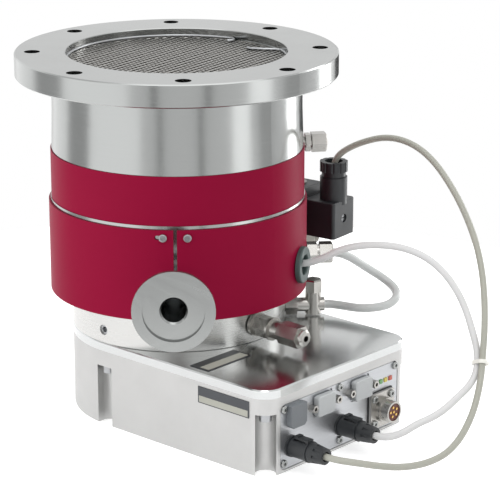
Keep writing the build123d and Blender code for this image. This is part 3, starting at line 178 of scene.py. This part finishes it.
def brushed(name, colour, roughness):
    """Sheet brushed along one direction: long fine scratches, close together."""
    material, tree, shader = new_material(name)
    place = add_node(tree, "ShaderNodeTexCoord").outputs["Object"]
    stretched = add_node(tree, "ShaderNodeVectorMath", {
        0: place, 1: [pattern_scale(size) for size in SCRATCH_SIZE]},
        operation="MULTIPLY").outputs[0]
    lines = add_node(tree, "ShaderNodeTexNoise", {
        "Vector": stretched, "Scale": 1.0, "Detail": 4.0}).outputs["Fac"]
    shade(tree, shader, (linear(colour), toned(colour, 0.88)), lines, lines, 0.2, 0.01,
          (roughness * 0.8, roughness * 1.2), lines)
    shader.inputs["Metallic"].default_value = 1.0
    return material


def lacquered(name, colour):
    """Stove-enamelled sheet: deep even colour with a satin gloss and a faint orange peel."""
    material, tree, shader = new_material(name)
    place = add_node(tree, "ShaderNodeTexCoord").outputs["Object"]
    peel = add_node(tree, "ShaderNodeTexNoise", {
        "Vector": place, "Scale": pattern_scale(PEEL_SIZE), "Detail": 2.0}).outputs["Fac"]
    cloud = add_node(tree, "ShaderNodeTexNoise", {
        "Vector": place, "Scale": pattern_scale(CLOUD_SIZE), "Detail": 3.0}).outputs["Fac"]
    shade(tree, shader, (toned(colour, 0.92), linear(colour)), cloud, peel, 0.15, 0.02)
    shader.inputs["Roughness"].default_value = 0.42
    shader.inputs["Specular IOR Level"].default_value = 0.03
    return material


def moulded(name, colour, roughness, grain_mm, depth_mm):
    """Moulded plastic or rubber: the tool's spark-eroded grain, with slightly worn gloss."""
    material, tree, shader = new_material(name)
    place = add_node(tree, "ShaderNodeTexCoord").outputs["Object"]
    grain = add_node(tree, "ShaderNodeTexNoise", {
        "Vector": place, "Scale": pattern_scale(grain_mm), "Detail": 3.0}).outputs["Fac"]
    rubbed = add_node(tree, "ShaderNodeTexNoise", {
        "Vector": place, "Scale": pattern_scale(RUB_SIZE), "Detail": 3.0}).outputs["Fac"]
    shade(tree, shader, (linear(colour), toned(colour, 1.15, 0.004)), grain, grain, 0.35, depth_mm,
          (roughness * 0.85, min(1.0, roughness * 1.15)), rubbed)
    return material


def clear_tubing(name, colour):
    """Soft polyurethane tube: milky, lets light through and blurs it."""
    material, tree, shader = new_material(name)
    place = add_node(tree, "ShaderNodeTexCoord").outputs["Object"]
    haze = add_node(tree, "ShaderNodeTexNoise", {
        "Vector": place, "Scale": pattern_scale(HAZE_SIZE), "Detail": 1.0}).outputs["Fac"]
    rough = add_node(tree, "ShaderNodeMapRange", {"Value": haze, "To Min": 0.26, "To Max": 0.32})
    tree.links.new(rough.outputs[0], shader.inputs["Roughness"])
    shader.inputs["Base Color"].default_value = linear(colour)
    shader.inputs["Transmission Weight"].default_value = 0.25
    shader.inputs["IOR"].default_value = 1.5
    return material


def lamp_windows(name, first_y, pitch):
    """Three small acrylic windows along +Y, each a third of the way: green, yellow and red."""
    material, tree, shader = new_material(name)
    place = add_node(tree, "ShaderNodeTexCoord").outputs["Object"]
    across = add_node(tree, "ShaderNodeSeparateXYZ", {0: place}).outputs["Y"]
    step = add_node(tree, "ShaderNodeMapRange", {
        "Value": across, "From Min": first_y - pitch / 2, "From Max": first_y + 2.5 * pitch})
    ramp = add_node(tree, "ShaderNodeValToRGB", {"Fac": step.outputs[0]})
    ramp.color_ramp.interpolation = "CONSTANT"
    ramp.color_ramp.elements[0].color = linear("#6FA56A")
    ramp.color_ramp.elements[1].position = 0.34
    ramp.color_ramp.elements[1].color = linear("#D3C45A")
    ramp.color_ramp.elements.new(0.67).color = linear("#C25A48")
    tree.links.new(ramp.outputs["Color"], shader.inputs["Base Color"])
    shader.inputs["Roughness"].default_value = 0.2
    shader.inputs["IOR"].default_value = 1.49
    return material


def finishes(colours):
    """Material of each slot in the record; roughness comes before grain and depth in mm."""
    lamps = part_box("status_lamps")
    lamp_width = 3.0 * MM
    lamp_pitch = (lamps[1].y - lamps[0].y - lamp_width) / 2
    return {
        # stove enamel: deep crimson with a satin gloss, only faintly lit by the light banks
        "red_lacquer": lacquered("stove enamel crimson", colours.enamel),
        # lathe-turned 6000-series aluminium, left bare: streaky bright bands down the neck
        "turned_aluminium": machined("turned aluminium", colours.casing, 0.17, 0.9, 0.008,
                                     directional=0.6),
        # casting finished on the lathe: a little duller than the neck
        "cast_aluminium": machined("machined casting", "#C9C9C7", 0.3, 1.2, 0.02),
        # glass-bead blasted and clear anodised box: even and nearly white
        "box_aluminium": blasted("bead-blasted aluminium", colours.box, 0.46, 0.35, 0.01),
        # polished and anodised lid: mirrors what stands on it
        "lid_aluminium": blasted("polished aluminium", "#C9CBCB", 0.17, 0.5, 0.002),
        # brushed sheet of the connector panel: fine lines that run level
        "panel_aluminium": brushed("brushed aluminium sheet", "#BFC1C4", 0.38),
        # five-axis milled rotor: small cutter steps, duller than turned metal
        "rotor_aluminium": machined("milled aluminium", "#9DA1A3", 0.36, 1.5, 0.02),
        # stainless tube, flanged and turned about the port's own axis
        "stainless": machined("turned stainless steel", "#9C9E9D", 0.22, 0.8, 0.02,
                              axis_turn=PORT_TURN, centre=(0, 0, PORT_HEIGHT)),
        # zinc plating, passivated: a dull blue-grey gloss
        "zinc_steel": blasted("zinc-plated steel", "#A9ABAD", 0.3, 0.4, 0.01),
        # bare electrical sheet and dark plates: nearly no gloss
        "dark_steel": blasted("laminated steel", "#55575A", 0.4, 0.6, 0.02),
        # nickel over brass: warm, with a softened mirror
        "nickel": blasted("nickel-plated brass", "#B4B2AE", 0.26, 0.8, 0.004),
        # gold flash on the pins: yellow and bright
        "contact_gold": blasted("gilded contacts", "#D9B46A", 0.2, 0.4, 0.004),
        # phenolic insert of the power connector: red-brown with a mould's sheen
        "brown_insulator": moulded("moulded phenolic", "#5A2418", 0.4, 0.4, 0.01),
        # glass-filled nylon: dull black with a fine spark-eroded grain
        "black_plastic": moulded("glass-filled nylon", colours.plug, 0.46, 0.35, 0.03),
        # polyamide caps: satin grey
        "grey_plastic": moulded("grey polyamide", "#6E7276", 0.5, 0.35, 0.02),
        # solder resist over copper: green with a varnish gloss
        "board_green": moulded("solder resist", "#1E5B34", 0.35, 0.8, 0.02),
        # rubbers: dark and matt
        "seal_rubber": moulded("black nitrile rubber", "#1B1C1D", 0.6, 0.3, 0.01),
        "grommet_rubber": moulded("chloroprene rubber", "#3A4A48", 0.5, 0.4, 0.02),
        # vinyl sheaths: soft gloss with a faint drawn grain
        "grey_sheath": moulded("grey vinyl sheath", colours.grey_lead, 0.42, 0.5, 0.02),
        "white_sheath": moulded("white vinyl sheath", colours.white_lead, 0.4, 0.5, 0.02),
        # extruded polyurethane: clear but milky
        "clear_tube": clear_tubing("milky polyurethane", "#D3D6D5"),
        # undyed nylon of the cable tie: slightly yellow
        "tie_nylon": moulded("natural nylon", "#E4E3DC", 0.35, 0.5, 0.01),
        # acrylic windows of the status lamps, unlit
        "lamp_lens": lamp_windows("acrylic windows", lamps[0].y + lamp_width / 2, lamp_pitch),
    }


# ------------------------------------------------------------------ modelling helpers
slot_names = {}


def deselect():
    bpy.ops.object.select_all(action="DESELECT")


def select_only(piece):
    """Select one piece and make it active."""
    deselect()
    piece.select_set(True)
    bpy.context.view_layer.objects.active = piece


def apply_modifiers(piece):
    """Apply all modifiers of a piece, from the first to the last."""
    select_only(piece)
    for modifier in list(piece.modifiers):
        bpy.ops.object.modifier_apply(modifier=modifier.name)


def round_curve(name, points, radius, around, along):
    """Smooth curve with a round section and closed ends; around and along are its steps."""
    curve = bpy.data.curves.new(name, "CURVE")
    curve.dimensions = "3D"
    curve.bevel_depth = radius
    curve.bevel_resolution = around
    curve.resolution_u = along
    curve.use_fill_caps = True
    spline = curve.splines.new("NURBS")
    spline.points.add(len(points) - 1)
    for control, point in zip(spline.points, points):
        control.co = (*point, 1)
    spline.order_u = 3
    spline.use_endpoint_u = True
    return place_object(name, curve)


def place_object(name, data, location=(0, 0, 0), turn=(0, 0, 0)):
    """New object of a curve, a lamp or a camera, in its place."""
    made = bpy.data.objects.new(name, data)
    made.location = location
    made.rotation_euler = turn
    bpy.context.scene.collection.objects.link(made)
    return made


def finish_piece(piece, name, slot, body="pump"):
    """Name a piece, give it its finish, bake its place into its mesh and let it ride on a body."""
    select_only(piece)
    if piece.type == "MESH":
        bpy.ops.object.transform_apply(location=True, rotation=True, scale=True)
    piece.name = name
    piece.data.name = name
    piece.data.materials.clear()
    piece.data.materials.append(bpy.data.materials[slot_names[slot]])
    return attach(piece, body)


# ------------------------------------------------------------------ settings
class PumpColours(bpy.types.PropertyGroup):
    """Colours that a user would change, as sRGB hex codes."""
    enamel: StringProperty(
        name="Enamel", description="Crimson of the two covers", default="#8C1134")
    casing: StringProperty(
        name="Casing", description="Bare metal of the inlet casing", default="#A8AAA9")
    box: StringProperty(
        name="Box", description="Blasted aluminium of the controller box", default="#C3C3C2")
    plug: StringProperty(
        name="Plugs", description="Black of the plugs and the coil", default="#1B1E21")
    grey_lead: StringProperty(
        name="Grey lead", description="Sheath of the vent valve's lead", default="#A2A298")
    white_lead: StringProperty(
        name="White lead", description="Sheath of the sensor lead", default="#D0D0D0")


class PumpSizes(bpy.types.PropertyGroup):
    """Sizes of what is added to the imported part."""
    wire_pitch: FloatProperty(
        name="Screen pitch", description="Spacing of the inlet screen's wires",
        default=4.2 * MM, unit="LENGTH")
    wire_thickness: FloatProperty(
        name="Screen wire", description="Thickness of the inlet screen's wires",
        default=1.0 * MM, unit="LENGTH")
    grey_diameter: FloatProperty(
        name="Grey lead", description="Diameter of the vent valve's lead",
        default=4.6 * MM, unit="LENGTH")
    white_diameter: FloatProperty(
        name="White lead", description="Diameter of the sensor lead",
        default=4.9 * MM, unit="LENGTH")
    tube_diameter: FloatProperty(
        name="Coolant tube", description="Diameter of the coolant tube",
        default=6.0 * MM, unit="LENGTH")
    plate_thickness: FloatProperty(
        name="Plate", description="Thickness of the bare plates",
        default=0.4 * MM, unit="LENGTH")
    lens: FloatProperty(
        name="Lens", description="Focal length of the camera on a 36 mm sensor",
        default=160.25, subtype="DISTANCE_CAMERA")


# ------------------------------------------------------------------ operators
class PUMP_OT_finishes(bpy.types.Operator):
    """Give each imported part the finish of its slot"""
    bl_idname = "pump.finishes"
    bl_label = "Finishes"

    def execute(self, context):
        made = finishes(context.scene.pump_colours)
        slot_names.update({slot: material.name for slot, material in made.items()})
        # the D-sub caps are of a lighter grey than the service cover beside them, and the
        # vent valve's body is darker than the bright fittings
        own = {"dsub_caps": moulded("light grey polyamide", "#B2B5B6", 0.45, 0.35, 0.02),
               "vent_valve_body": blasted("blackened brass", "#77756F", 0.32, 0.6, 0.01)}
        for part in frame["record"]["subparts"]:
            materials = frame["nodes"][part["node"]].data.materials
            materials.clear()
            materials.append(own.get(part["node"], made[part["material_slot"]]))
        return {"FINISHED"}


# control points of the leads and the tube in millimetres, from the valve or the base outwards
GREY_LEAD_POINTS = (
    (47, 115, 154.5), (47, 115, 160), (50.3, 116.4, 167.4), (59, 119, 174), (71, 122.1, 180),
    (86.3, 124.4, 185), (102.5, 125.2, 185.5), (118.2, 125.2, 181.6), (132.4, 124.4, 173.7),
    (145, 122.5, 163.6), (156.9, 119.7, 152.8), (168, 115.8, 141.6), (178.3, 111.3, 129.8),
    (187.1, 106.2, 117.1), (194.8, 100.1, 104.1), (201.3, 93.4, 90.8), (206.6, 86.7, 76.9),
    (210.5, 80.3, 62.5), (214.5, 73.9, 50.7), (218.3, 65.7, 39.9), (221.6, 56.4, 29.9),
    (224.6, 45, 22.2), (226.8, 32.7, 15.8), (227.5, 19.4, 11.2), (225.8, 5.6, 9.1),
    (222.3, -8, 9), (216.8, -20.9, 10.3), (209.9, -32.8, 13.1), (199.9, -42.3, 15.4),
    (188.2, -50, 16.6), (177.7, -50, 16.6))
WHITE_LEAD_POINTS = (
    (73.48, 31.64, 109), (84.5, 36.39, 109), (97.7, 42.3, 114.4), (109.6, 47.9, 122.6),
    (122.9, 54.3, 127), (136.9, 60.9, 128.6), (150.8, 67.6, 127.6), (164.1, 73.8, 122.8),
    (176, 78.3, 114), (185.6, 81.3, 102.2), (193.4, 82.5, 88.9), (200.3, 81.3, 75.1),
    (205.9, 80.9, 60.6), (209.8, 74.5, 48.8), (211.9, 63.9, 42.7), (211.9, 52.1, 38.6),
    (210.5, 40.8, 33.1), (207.9, 29.3, 28.9), (203.7, 17.7, 26.5), (199.5, 8.5, 21.8),
    (193.2, 3.9, 18.4), (185, 1.2, 16.6), (177.7, 1.2, 16.6))
COOLANT_TUBE_POINTS = (
    (70.2, 73.45, 107), (77.79, 81.41, 107), (82, 91, 102.3), (82.6, 101.5, 95.3),
    (84.5, 111.6, 88.2), (90.6, 119.1, 81.7), (101.3, 119.6, 76.6), (110.4, 112.6, 73.3),
    (112.8, 101.3, 70.3), (107.9, 90.4, 69.1), (98.2, 83.3, 68.4), (86.2, 81.5, 68),
    (74.61, 78.08, 68), (67.71, 70.85, 68))


class PUMP_OT_leads(bpy.types.Operator):
    """Lay the two leads and the coolant tube as smooth curves"""
    bl_idname = "pump.leads"
    bl_label = "Leads and tube"

    def lay(self, name, slot, points_mm, diameter, length, with_pieces=()):
        """One lead through its control points, with its finish; length and with_pieces are not
        used.
        """
        piece = round_curve(name, [[c * MM for c in point] for point in points_mm], diameter / 2,
                            around=5, along=10)
        finish_piece(piece, name, slot)
        return piece

    def execute(self, context):
        sizes = context.scene.pump_sizes
        grey = self.lay("grey_lead", "grey_sheath", GREY_LEAD_POINTS, sizes.grey_diameter, 0.428,
                        [frame["nodes"]["cable_tie"]])
        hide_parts("grey_cable")
        white = self.lay("white_lead", "white_sheath", WHITE_LEAD_POINTS, sizes.white_diameter,
                         0.293)
        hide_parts("white_cable")
        tube = self.lay("coolant_line", "clear_tube", COOLANT_TUBE_POINTS, sizes.tube_diameter,
                        0.150)
        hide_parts("coolant_tube")
        return {"FINISHED"}


class PUMP_OT_inlet_screen(bpy.types.Operator):
    """Weave the fine wire screen in the inlet"""
    bl_idname = "pump.inlet_screen"
    bl_label = "Inlet screen"
    rim_gap = 1.2 * MM
    hem_radius = 0.6 * MM
    rim_steps = 96
    # each run of wires: its turn in degrees and its level as a share of the screen's height
    runs = ((10, 0.3), (100, 0.7))

    def execute(self, context):
        sizes = context.scene.pump_sizes
        low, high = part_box("inlet_screen")
        clear = (high.x - low.x) / 2 - self.rim_gap
        count = int(2 * clear / sizes.wire_pitch)
        woven = []
        for turn, level in self.runs:
            deselect()
            bpy.ops.mesh.primitive_cube_add(size=1, location=(0, -count * sizes.wire_pitch / 2, 0))
            wire = bpy.context.object
            wire.scale = (2 * clear, sizes.wire_thickness, sizes.wire_thickness)
            bpy.ops.object.transform_apply(location=True, scale=True)
            row = wire.modifiers.new("row", "ARRAY")
            row.use_relative_offset = False
            row.use_constant_offset = True
            row.constant_offset_displace = (0, sizes.wire_pitch, 0)
            row.count = count + 1
            apply_modifiers(wire)
            wire.rotation_euler = (0, 0, radians(turn))
            wire.location.z = low.z + level * (high.z - low.z)
            bpy.ops.object.transform_apply(location=True, rotation=True)
            woven.append(wire)
        deselect()
        bpy.ops.mesh.primitive_cylinder_add(vertices=self.rim_steps, radius=clear, depth=10 * MM,
                                            location=(0, 0, low.z))
        disc = bpy.context.object
        for wire in woven:
            cut = wire.modifiers.new("to the rim", "BOOLEAN")
            cut.operation = "INTERSECT"
            cut.solver = "EXACT"
            cut.use_self = True
            cut.object = disc
            apply_modifiers(wire)
        bpy.data.objects.remove(disc)
        deselect()
        bpy.ops.mesh.primitive_torus_add(
            major_radius=clear, minor_radius=self.hem_radius, major_segments=self.rim_steps,
            minor_segments=8, location=(0, 0, (low.z + high.z) / 2))
        hem = bpy.context.object
        hem.scale.z = 0.5
        bpy.ops.object.transform_apply(location=True, scale=True)
        for wire in woven:
            wire.select_set(True)
        bpy.context.view_layer.objects.active = hem
        bpy.ops.object.join()
        finish_piece(hem, "woven_screen", "nickel")
        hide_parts("inlet_screen")
        return {"FINISHED"}


class PUMP_OT_snap_ring(bpy.types.Operator):
    """Bend the snap ring that holds the screen, with its ends curled inwards"""
    bl_idname = "pump.snap_ring"
    bl_label = "Snap ring"
    # the two ends in millimetres, from the wall inwards, and the angles of the round part
    left_end = ((-13.0, 66.4), (-10.6, 68.2), (-11.4, 71.4))
    right_end = ((36.0, 67.0), (33.2, 66.4), (28.5, 62.5), (20.6, 57.6), (16.4, 56.1), (14.6, 57.2))
    round_part = range(102, 423, 4)

    def execute(self, context):
        low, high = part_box("screen_ring")
        wire = (high.z - low.z) / 2
        reach = max(high.x, -low.x) - wire
        level = (low.z + high.z) / 2
        path = [(x * MM, y * MM, level) for x, y in self.left_end]
        path += [(reach * cos(radians(angle)), reach * sin(radians(angle)), level)
                 for angle in self.round_part]
        path += [(x * MM, y * MM, level) for x, y in self.right_end]
        select_only(round_curve("snap_ring", path, wire, around=4, along=3))
        bpy.ops.object.convert(target="MESH")
        ring = context.object
        bpy.ops.object.shade_smooth()
        finish_piece(ring, "snap_ring", "zinc_steel")
        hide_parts("screen_ring")
        return {"FINISHED"}


class PUMP_OT_plates(bpy.types.Operator):
    """Fix the two bare plates to the controller box"""
    bl_idname = "pump.plates"
    bl_label = "Bare plates"
    softened = 0.4  # share of a plate's thickness that its edges lose

    def plate(self, name, centre, size, slot):
        """Thin plate with softened edges; its size is given along X, Y and Z."""
        deselect()
        bpy.ops.mesh.primitive_cube_add(size=1, location=centre)
        made = bpy.context.object
        made.scale = size
        bpy.ops.object.transform_apply(scale=True)
        soft = made.modifiers.new("edge", "BEVEL")
        soft.width = min(size) * self.softened
        soft.segments = 2
        apply_modifiers(made)
        return finish_piece(made, name, slot)

    def execute(self, context):
        thick = context.scene.pump_sizes.plate_thickness
        raised = thick + 0.1 * MM
        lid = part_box("controller_lid")[1].z
        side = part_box("controller_housing")[0].y
        self.plate("lid_plate", (85.5 * MM, -48.3 * MM, lid + thick / 2),
                   (17 * MM, 43.5 * MM, thick), "dark_steel")
        self.plate("lid_plate_field", (88.6 * MM, -48.3 * MM, lid + raised / 2),
                   (8 * MM, 40 * MM, raised), "grey_sheath")
        self.plate("side_plate", (113 * MM, side - thick / 2, 45.3 * MM),
                   (46 * MM, thick, 11.8 * MM), "dark_steel")
        self.plate("side_plate_field", (113 * MM, side - raised / 2, 42.4 * MM),
                   (44 * MM, raised, 4.6 * MM), "grey_sheath")
        return {"FINISHED"}


class PUMP_OT_stage(bpy.types.Operator):
    """Set the floor, the soft studio light and the camera"""
    bl_idname = "pump.stage"
    bl_label = "Stage"
    floor_radius = 0.46
    floor_glow = 0.45
    # upright light banks round the part, from below the floor's level to above the inlet:
    # name, azimuth, reach, width, brightness of the face, seen in metal
    bank_height = 1.8
    bank_level = 0.3
    banks = (
        ("left bank", -116, 1.4, 1.4, 1.15, False),
        ("left reflector", -104, 1.35, 1.3, 0.55, True),
        ("right reflector", 12, 1.4, 0.45, 1.0, True),
        ("right strip", 79, 1.4, 0.38, 4.2, True),
        ("left strip", 180, 1.4, 0.9, 0.4, True),
    )
    # square lamps that face down or slant down: name, size, power, place, turn in degrees
    overheads = (
        ("top bank", 1.6, 8, (0.1, 0.1, 1.9), (0, 0, 0)),
        ("front bank", 0.7, 3.5, (0.62, -0.68, 1.35), (34, 0, 42.4)),
    )
    # dark cards that metal mirrors, kept low so that the lid stays bright:
    # name, azimuth, reach, width, brightness of the face
    card_height = 1.1
    card_top = 0.15
    cards = (
        ("left line", -61, 0.9, 0.055, 0),
        ("right line", -26, 0.9, 0.055, 0),
        ("left flag", -145, 1.3, 0.6, 0.55),
        ("right flag", 40, 1.3, 0.42, 0.6),
        ("back flag", 112, 1.3, 0.6, 0),
    )
    camera_place = (1.0535, -1.0929, 0.5697)
    camera_turn = (90 - 16.83, 0, 43.95 - 1.92)

    def upright(self, azimuth, reach, level):
        """Place and turn of an upright face at an azimuth round the pump, that looks at it."""
        return ((reach * cos(radians(azimuth)), reach * sin(radians(azimuth)), level),
                (radians(90), 0, radians(azimuth + 90)))

    def bank(self, name, azimuth, reach, width, brightness, mirrored):
        """Upright light bank; brightness is that of its face."""
        lamp = bpy.data.lights.new(name, "AREA")
        lamp.shape = "RECTANGLE"
        lamp.size, lamp.size_y = width, self.bank_height
        lamp.energy = brightness * pi * width * self.bank_height
        made = place_object(name, lamp, *self.upright(azimuth, reach, self.bank_level))
        made.visible_glossy = mirrored

    def overhead(self, name, size, power, location, turn):
        """Square soft lamp above the part."""
        lamp = bpy.data.lights.new(name, "AREA")
        lamp.size = size
        lamp.energy = power
        place_object(name, lamp, location, [radians(angle) for angle in turn])

    def card(self, name, azimuth, reach, width, glow):
        """Upright card that the camera doesn't see and metal mirrors; glow is its brightness."""
        deselect()
        location, turn = self.upright(azimuth, reach, self.card_top - self.card_height / 2)
        bpy.ops.mesh.primitive_plane_add(size=1, location=location, rotation=turn)
        made = bpy.context.object
        made.scale = (width, self.card_height, 1)
        made.name = name
        made.visible_camera = False
        made.visible_shadow = False
        made.visible_diffuse = False
        material, tree, shader = new_material(name)
        shader.inputs["Base Color"].default_value = linear("#050505")
        shader.inputs["Emission Color"].default_value = WHITE
        shader.inputs["Emission Strength"].default_value = glow
        shader.inputs["Roughness"].default_value = 0.9
        made.data.materials.append(material)

    def seen_directly(self, tree, transmitted):
        """1 for rays from the camera or off a gloss, and through glass where asked; else 0."""
        rays = add_node(tree, "ShaderNodeLightPath").outputs
        seen = add_node(tree, "ShaderNodeMath", {
            0: rays["Is Camera Ray"], 1: rays["Is Glossy Ray"]}, operation="MAXIMUM").outputs[0]
        if transmitted:
            seen = add_node(tree, "ShaderNodeMath", {
                0: seen, 1: rays["Is Transmission Ray"]}, operation="MAXIMUM").outputs[0]
        return seen

    def floor(self):
        """Round matt floor that keeps the part's shadow and fades into the white behind it."""
        deselect()
        bpy.ops.mesh.primitive_circle_add(vertices=128, radius=self.floor_radius,
                                          fill_type="NGON", location=(0, 0, 0))
        floor = bpy.context.object
        floor.name = "floor"
        material, tree, shader = new_material("matt white card")
        shader.inputs["Base Color"].default_value = linear("#F4F4F4")
        shader.inputs["Roughness"].default_value = 0.9
        lift = add_node(tree, "ShaderNodeMath", {
            0: self.seen_directly(tree, False), 1: self.floor_glow}, operation="MULTIPLY")
        tree.links.new(lift.outputs[0], shader.inputs["Emission Strength"])
        shader.inputs["Emission Color"].default_value = WHITE
        floor.data.materials.append(material)

    def room(self, scene):
        """White world, a little weaker as a light than it looks."""
        world = bpy.data.worlds.new("white studio")
        scene.world = world
        world.use_nodes = True
        tree = world.node_tree
        tree.nodes.clear()
        strength = add_node(tree, "ShaderNodeMix", {
            "Factor": self.seen_directly(tree, True), 2: 0.7, 3: 1.0})
        white = add_node(tree, "ShaderNodeBackground", {
            "Color": WHITE, "Strength": strength.outputs[0]})
        add_node(tree, "ShaderNodeOutputWorld", {"Surface": white.outputs[0]})

    def execute(self, context):
        scene = context.scene
        self.floor()
        self.room(scene)
        for settings in self.banks:
            self.bank(*settings)
        for settings in self.overheads:
            self.overhead(*settings)
        for settings in self.cards:
            self.card(*settings)

        camera = bpy.data.cameras.new("camera")
        camera.lens = scene.pump_sizes.lens
        camera.sensor_width = 36
        camera.clip_end = 50
        scene.camera = place_object("camera", camera, self.camera_place,
                                    [radians(angle) for angle in self.camera_turn])
        scene.view_settings.view_transform = "Standard"
        return {"FINISHED"}


class PUMP_PT_panel(bpy.types.Panel):
    """Lists the steps and their settings"""
    bl_idname = "PUMP_PT_panel"
    bl_label = "Pump Looks"
    bl_space_type = "VIEW_3D"
    bl_region_type = "UI"
    bl_category = "Pump"

    def draw(self, context):
        for group in (context.scene.pump_sizes, context.scene.pump_colours):
            box = self.layout.box()
            for name in group.__annotations__:
                box.prop(group, name)
        for operator in OPERATORS:
            self.layout.operator(operator.bl_idname)


OPERATORS = (PUMP_OT_finishes, PUMP_OT_leads, PUMP_OT_inlet_screen, PUMP_OT_snap_ring,
             PUMP_OT_plates, PUMP_OT_stage)
CLASSES = (PumpColours, PumpSizes, *OPERATORS, PUMP_PT_panel)


def register():
    for cls in CLASSES:
        bpy.utils.register_class(cls)
    bpy.types.Scene.pump_colours = PointerProperty(type=PumpColours)
    bpy.types.Scene.pump_sizes = PointerProperty(type=PumpSizes)


def unregister():
    del bpy.types.Scene.pump_sizes
    del bpy.types.Scene.pump_colours
    for cls in reversed(CLASSES):
        bpy.utils.unregister_class(cls)


def main():
    register()
    bpy.ops.pump.finishes()
    bpy.ops.pump.leads()
    bpy.ops.pump.inlet_screen()
    bpy.ops.pump.snap_ring()
    bpy.ops.pump.plates()
    bpy.ops.pump.stage()


if __name__ == "__main__":
    main()
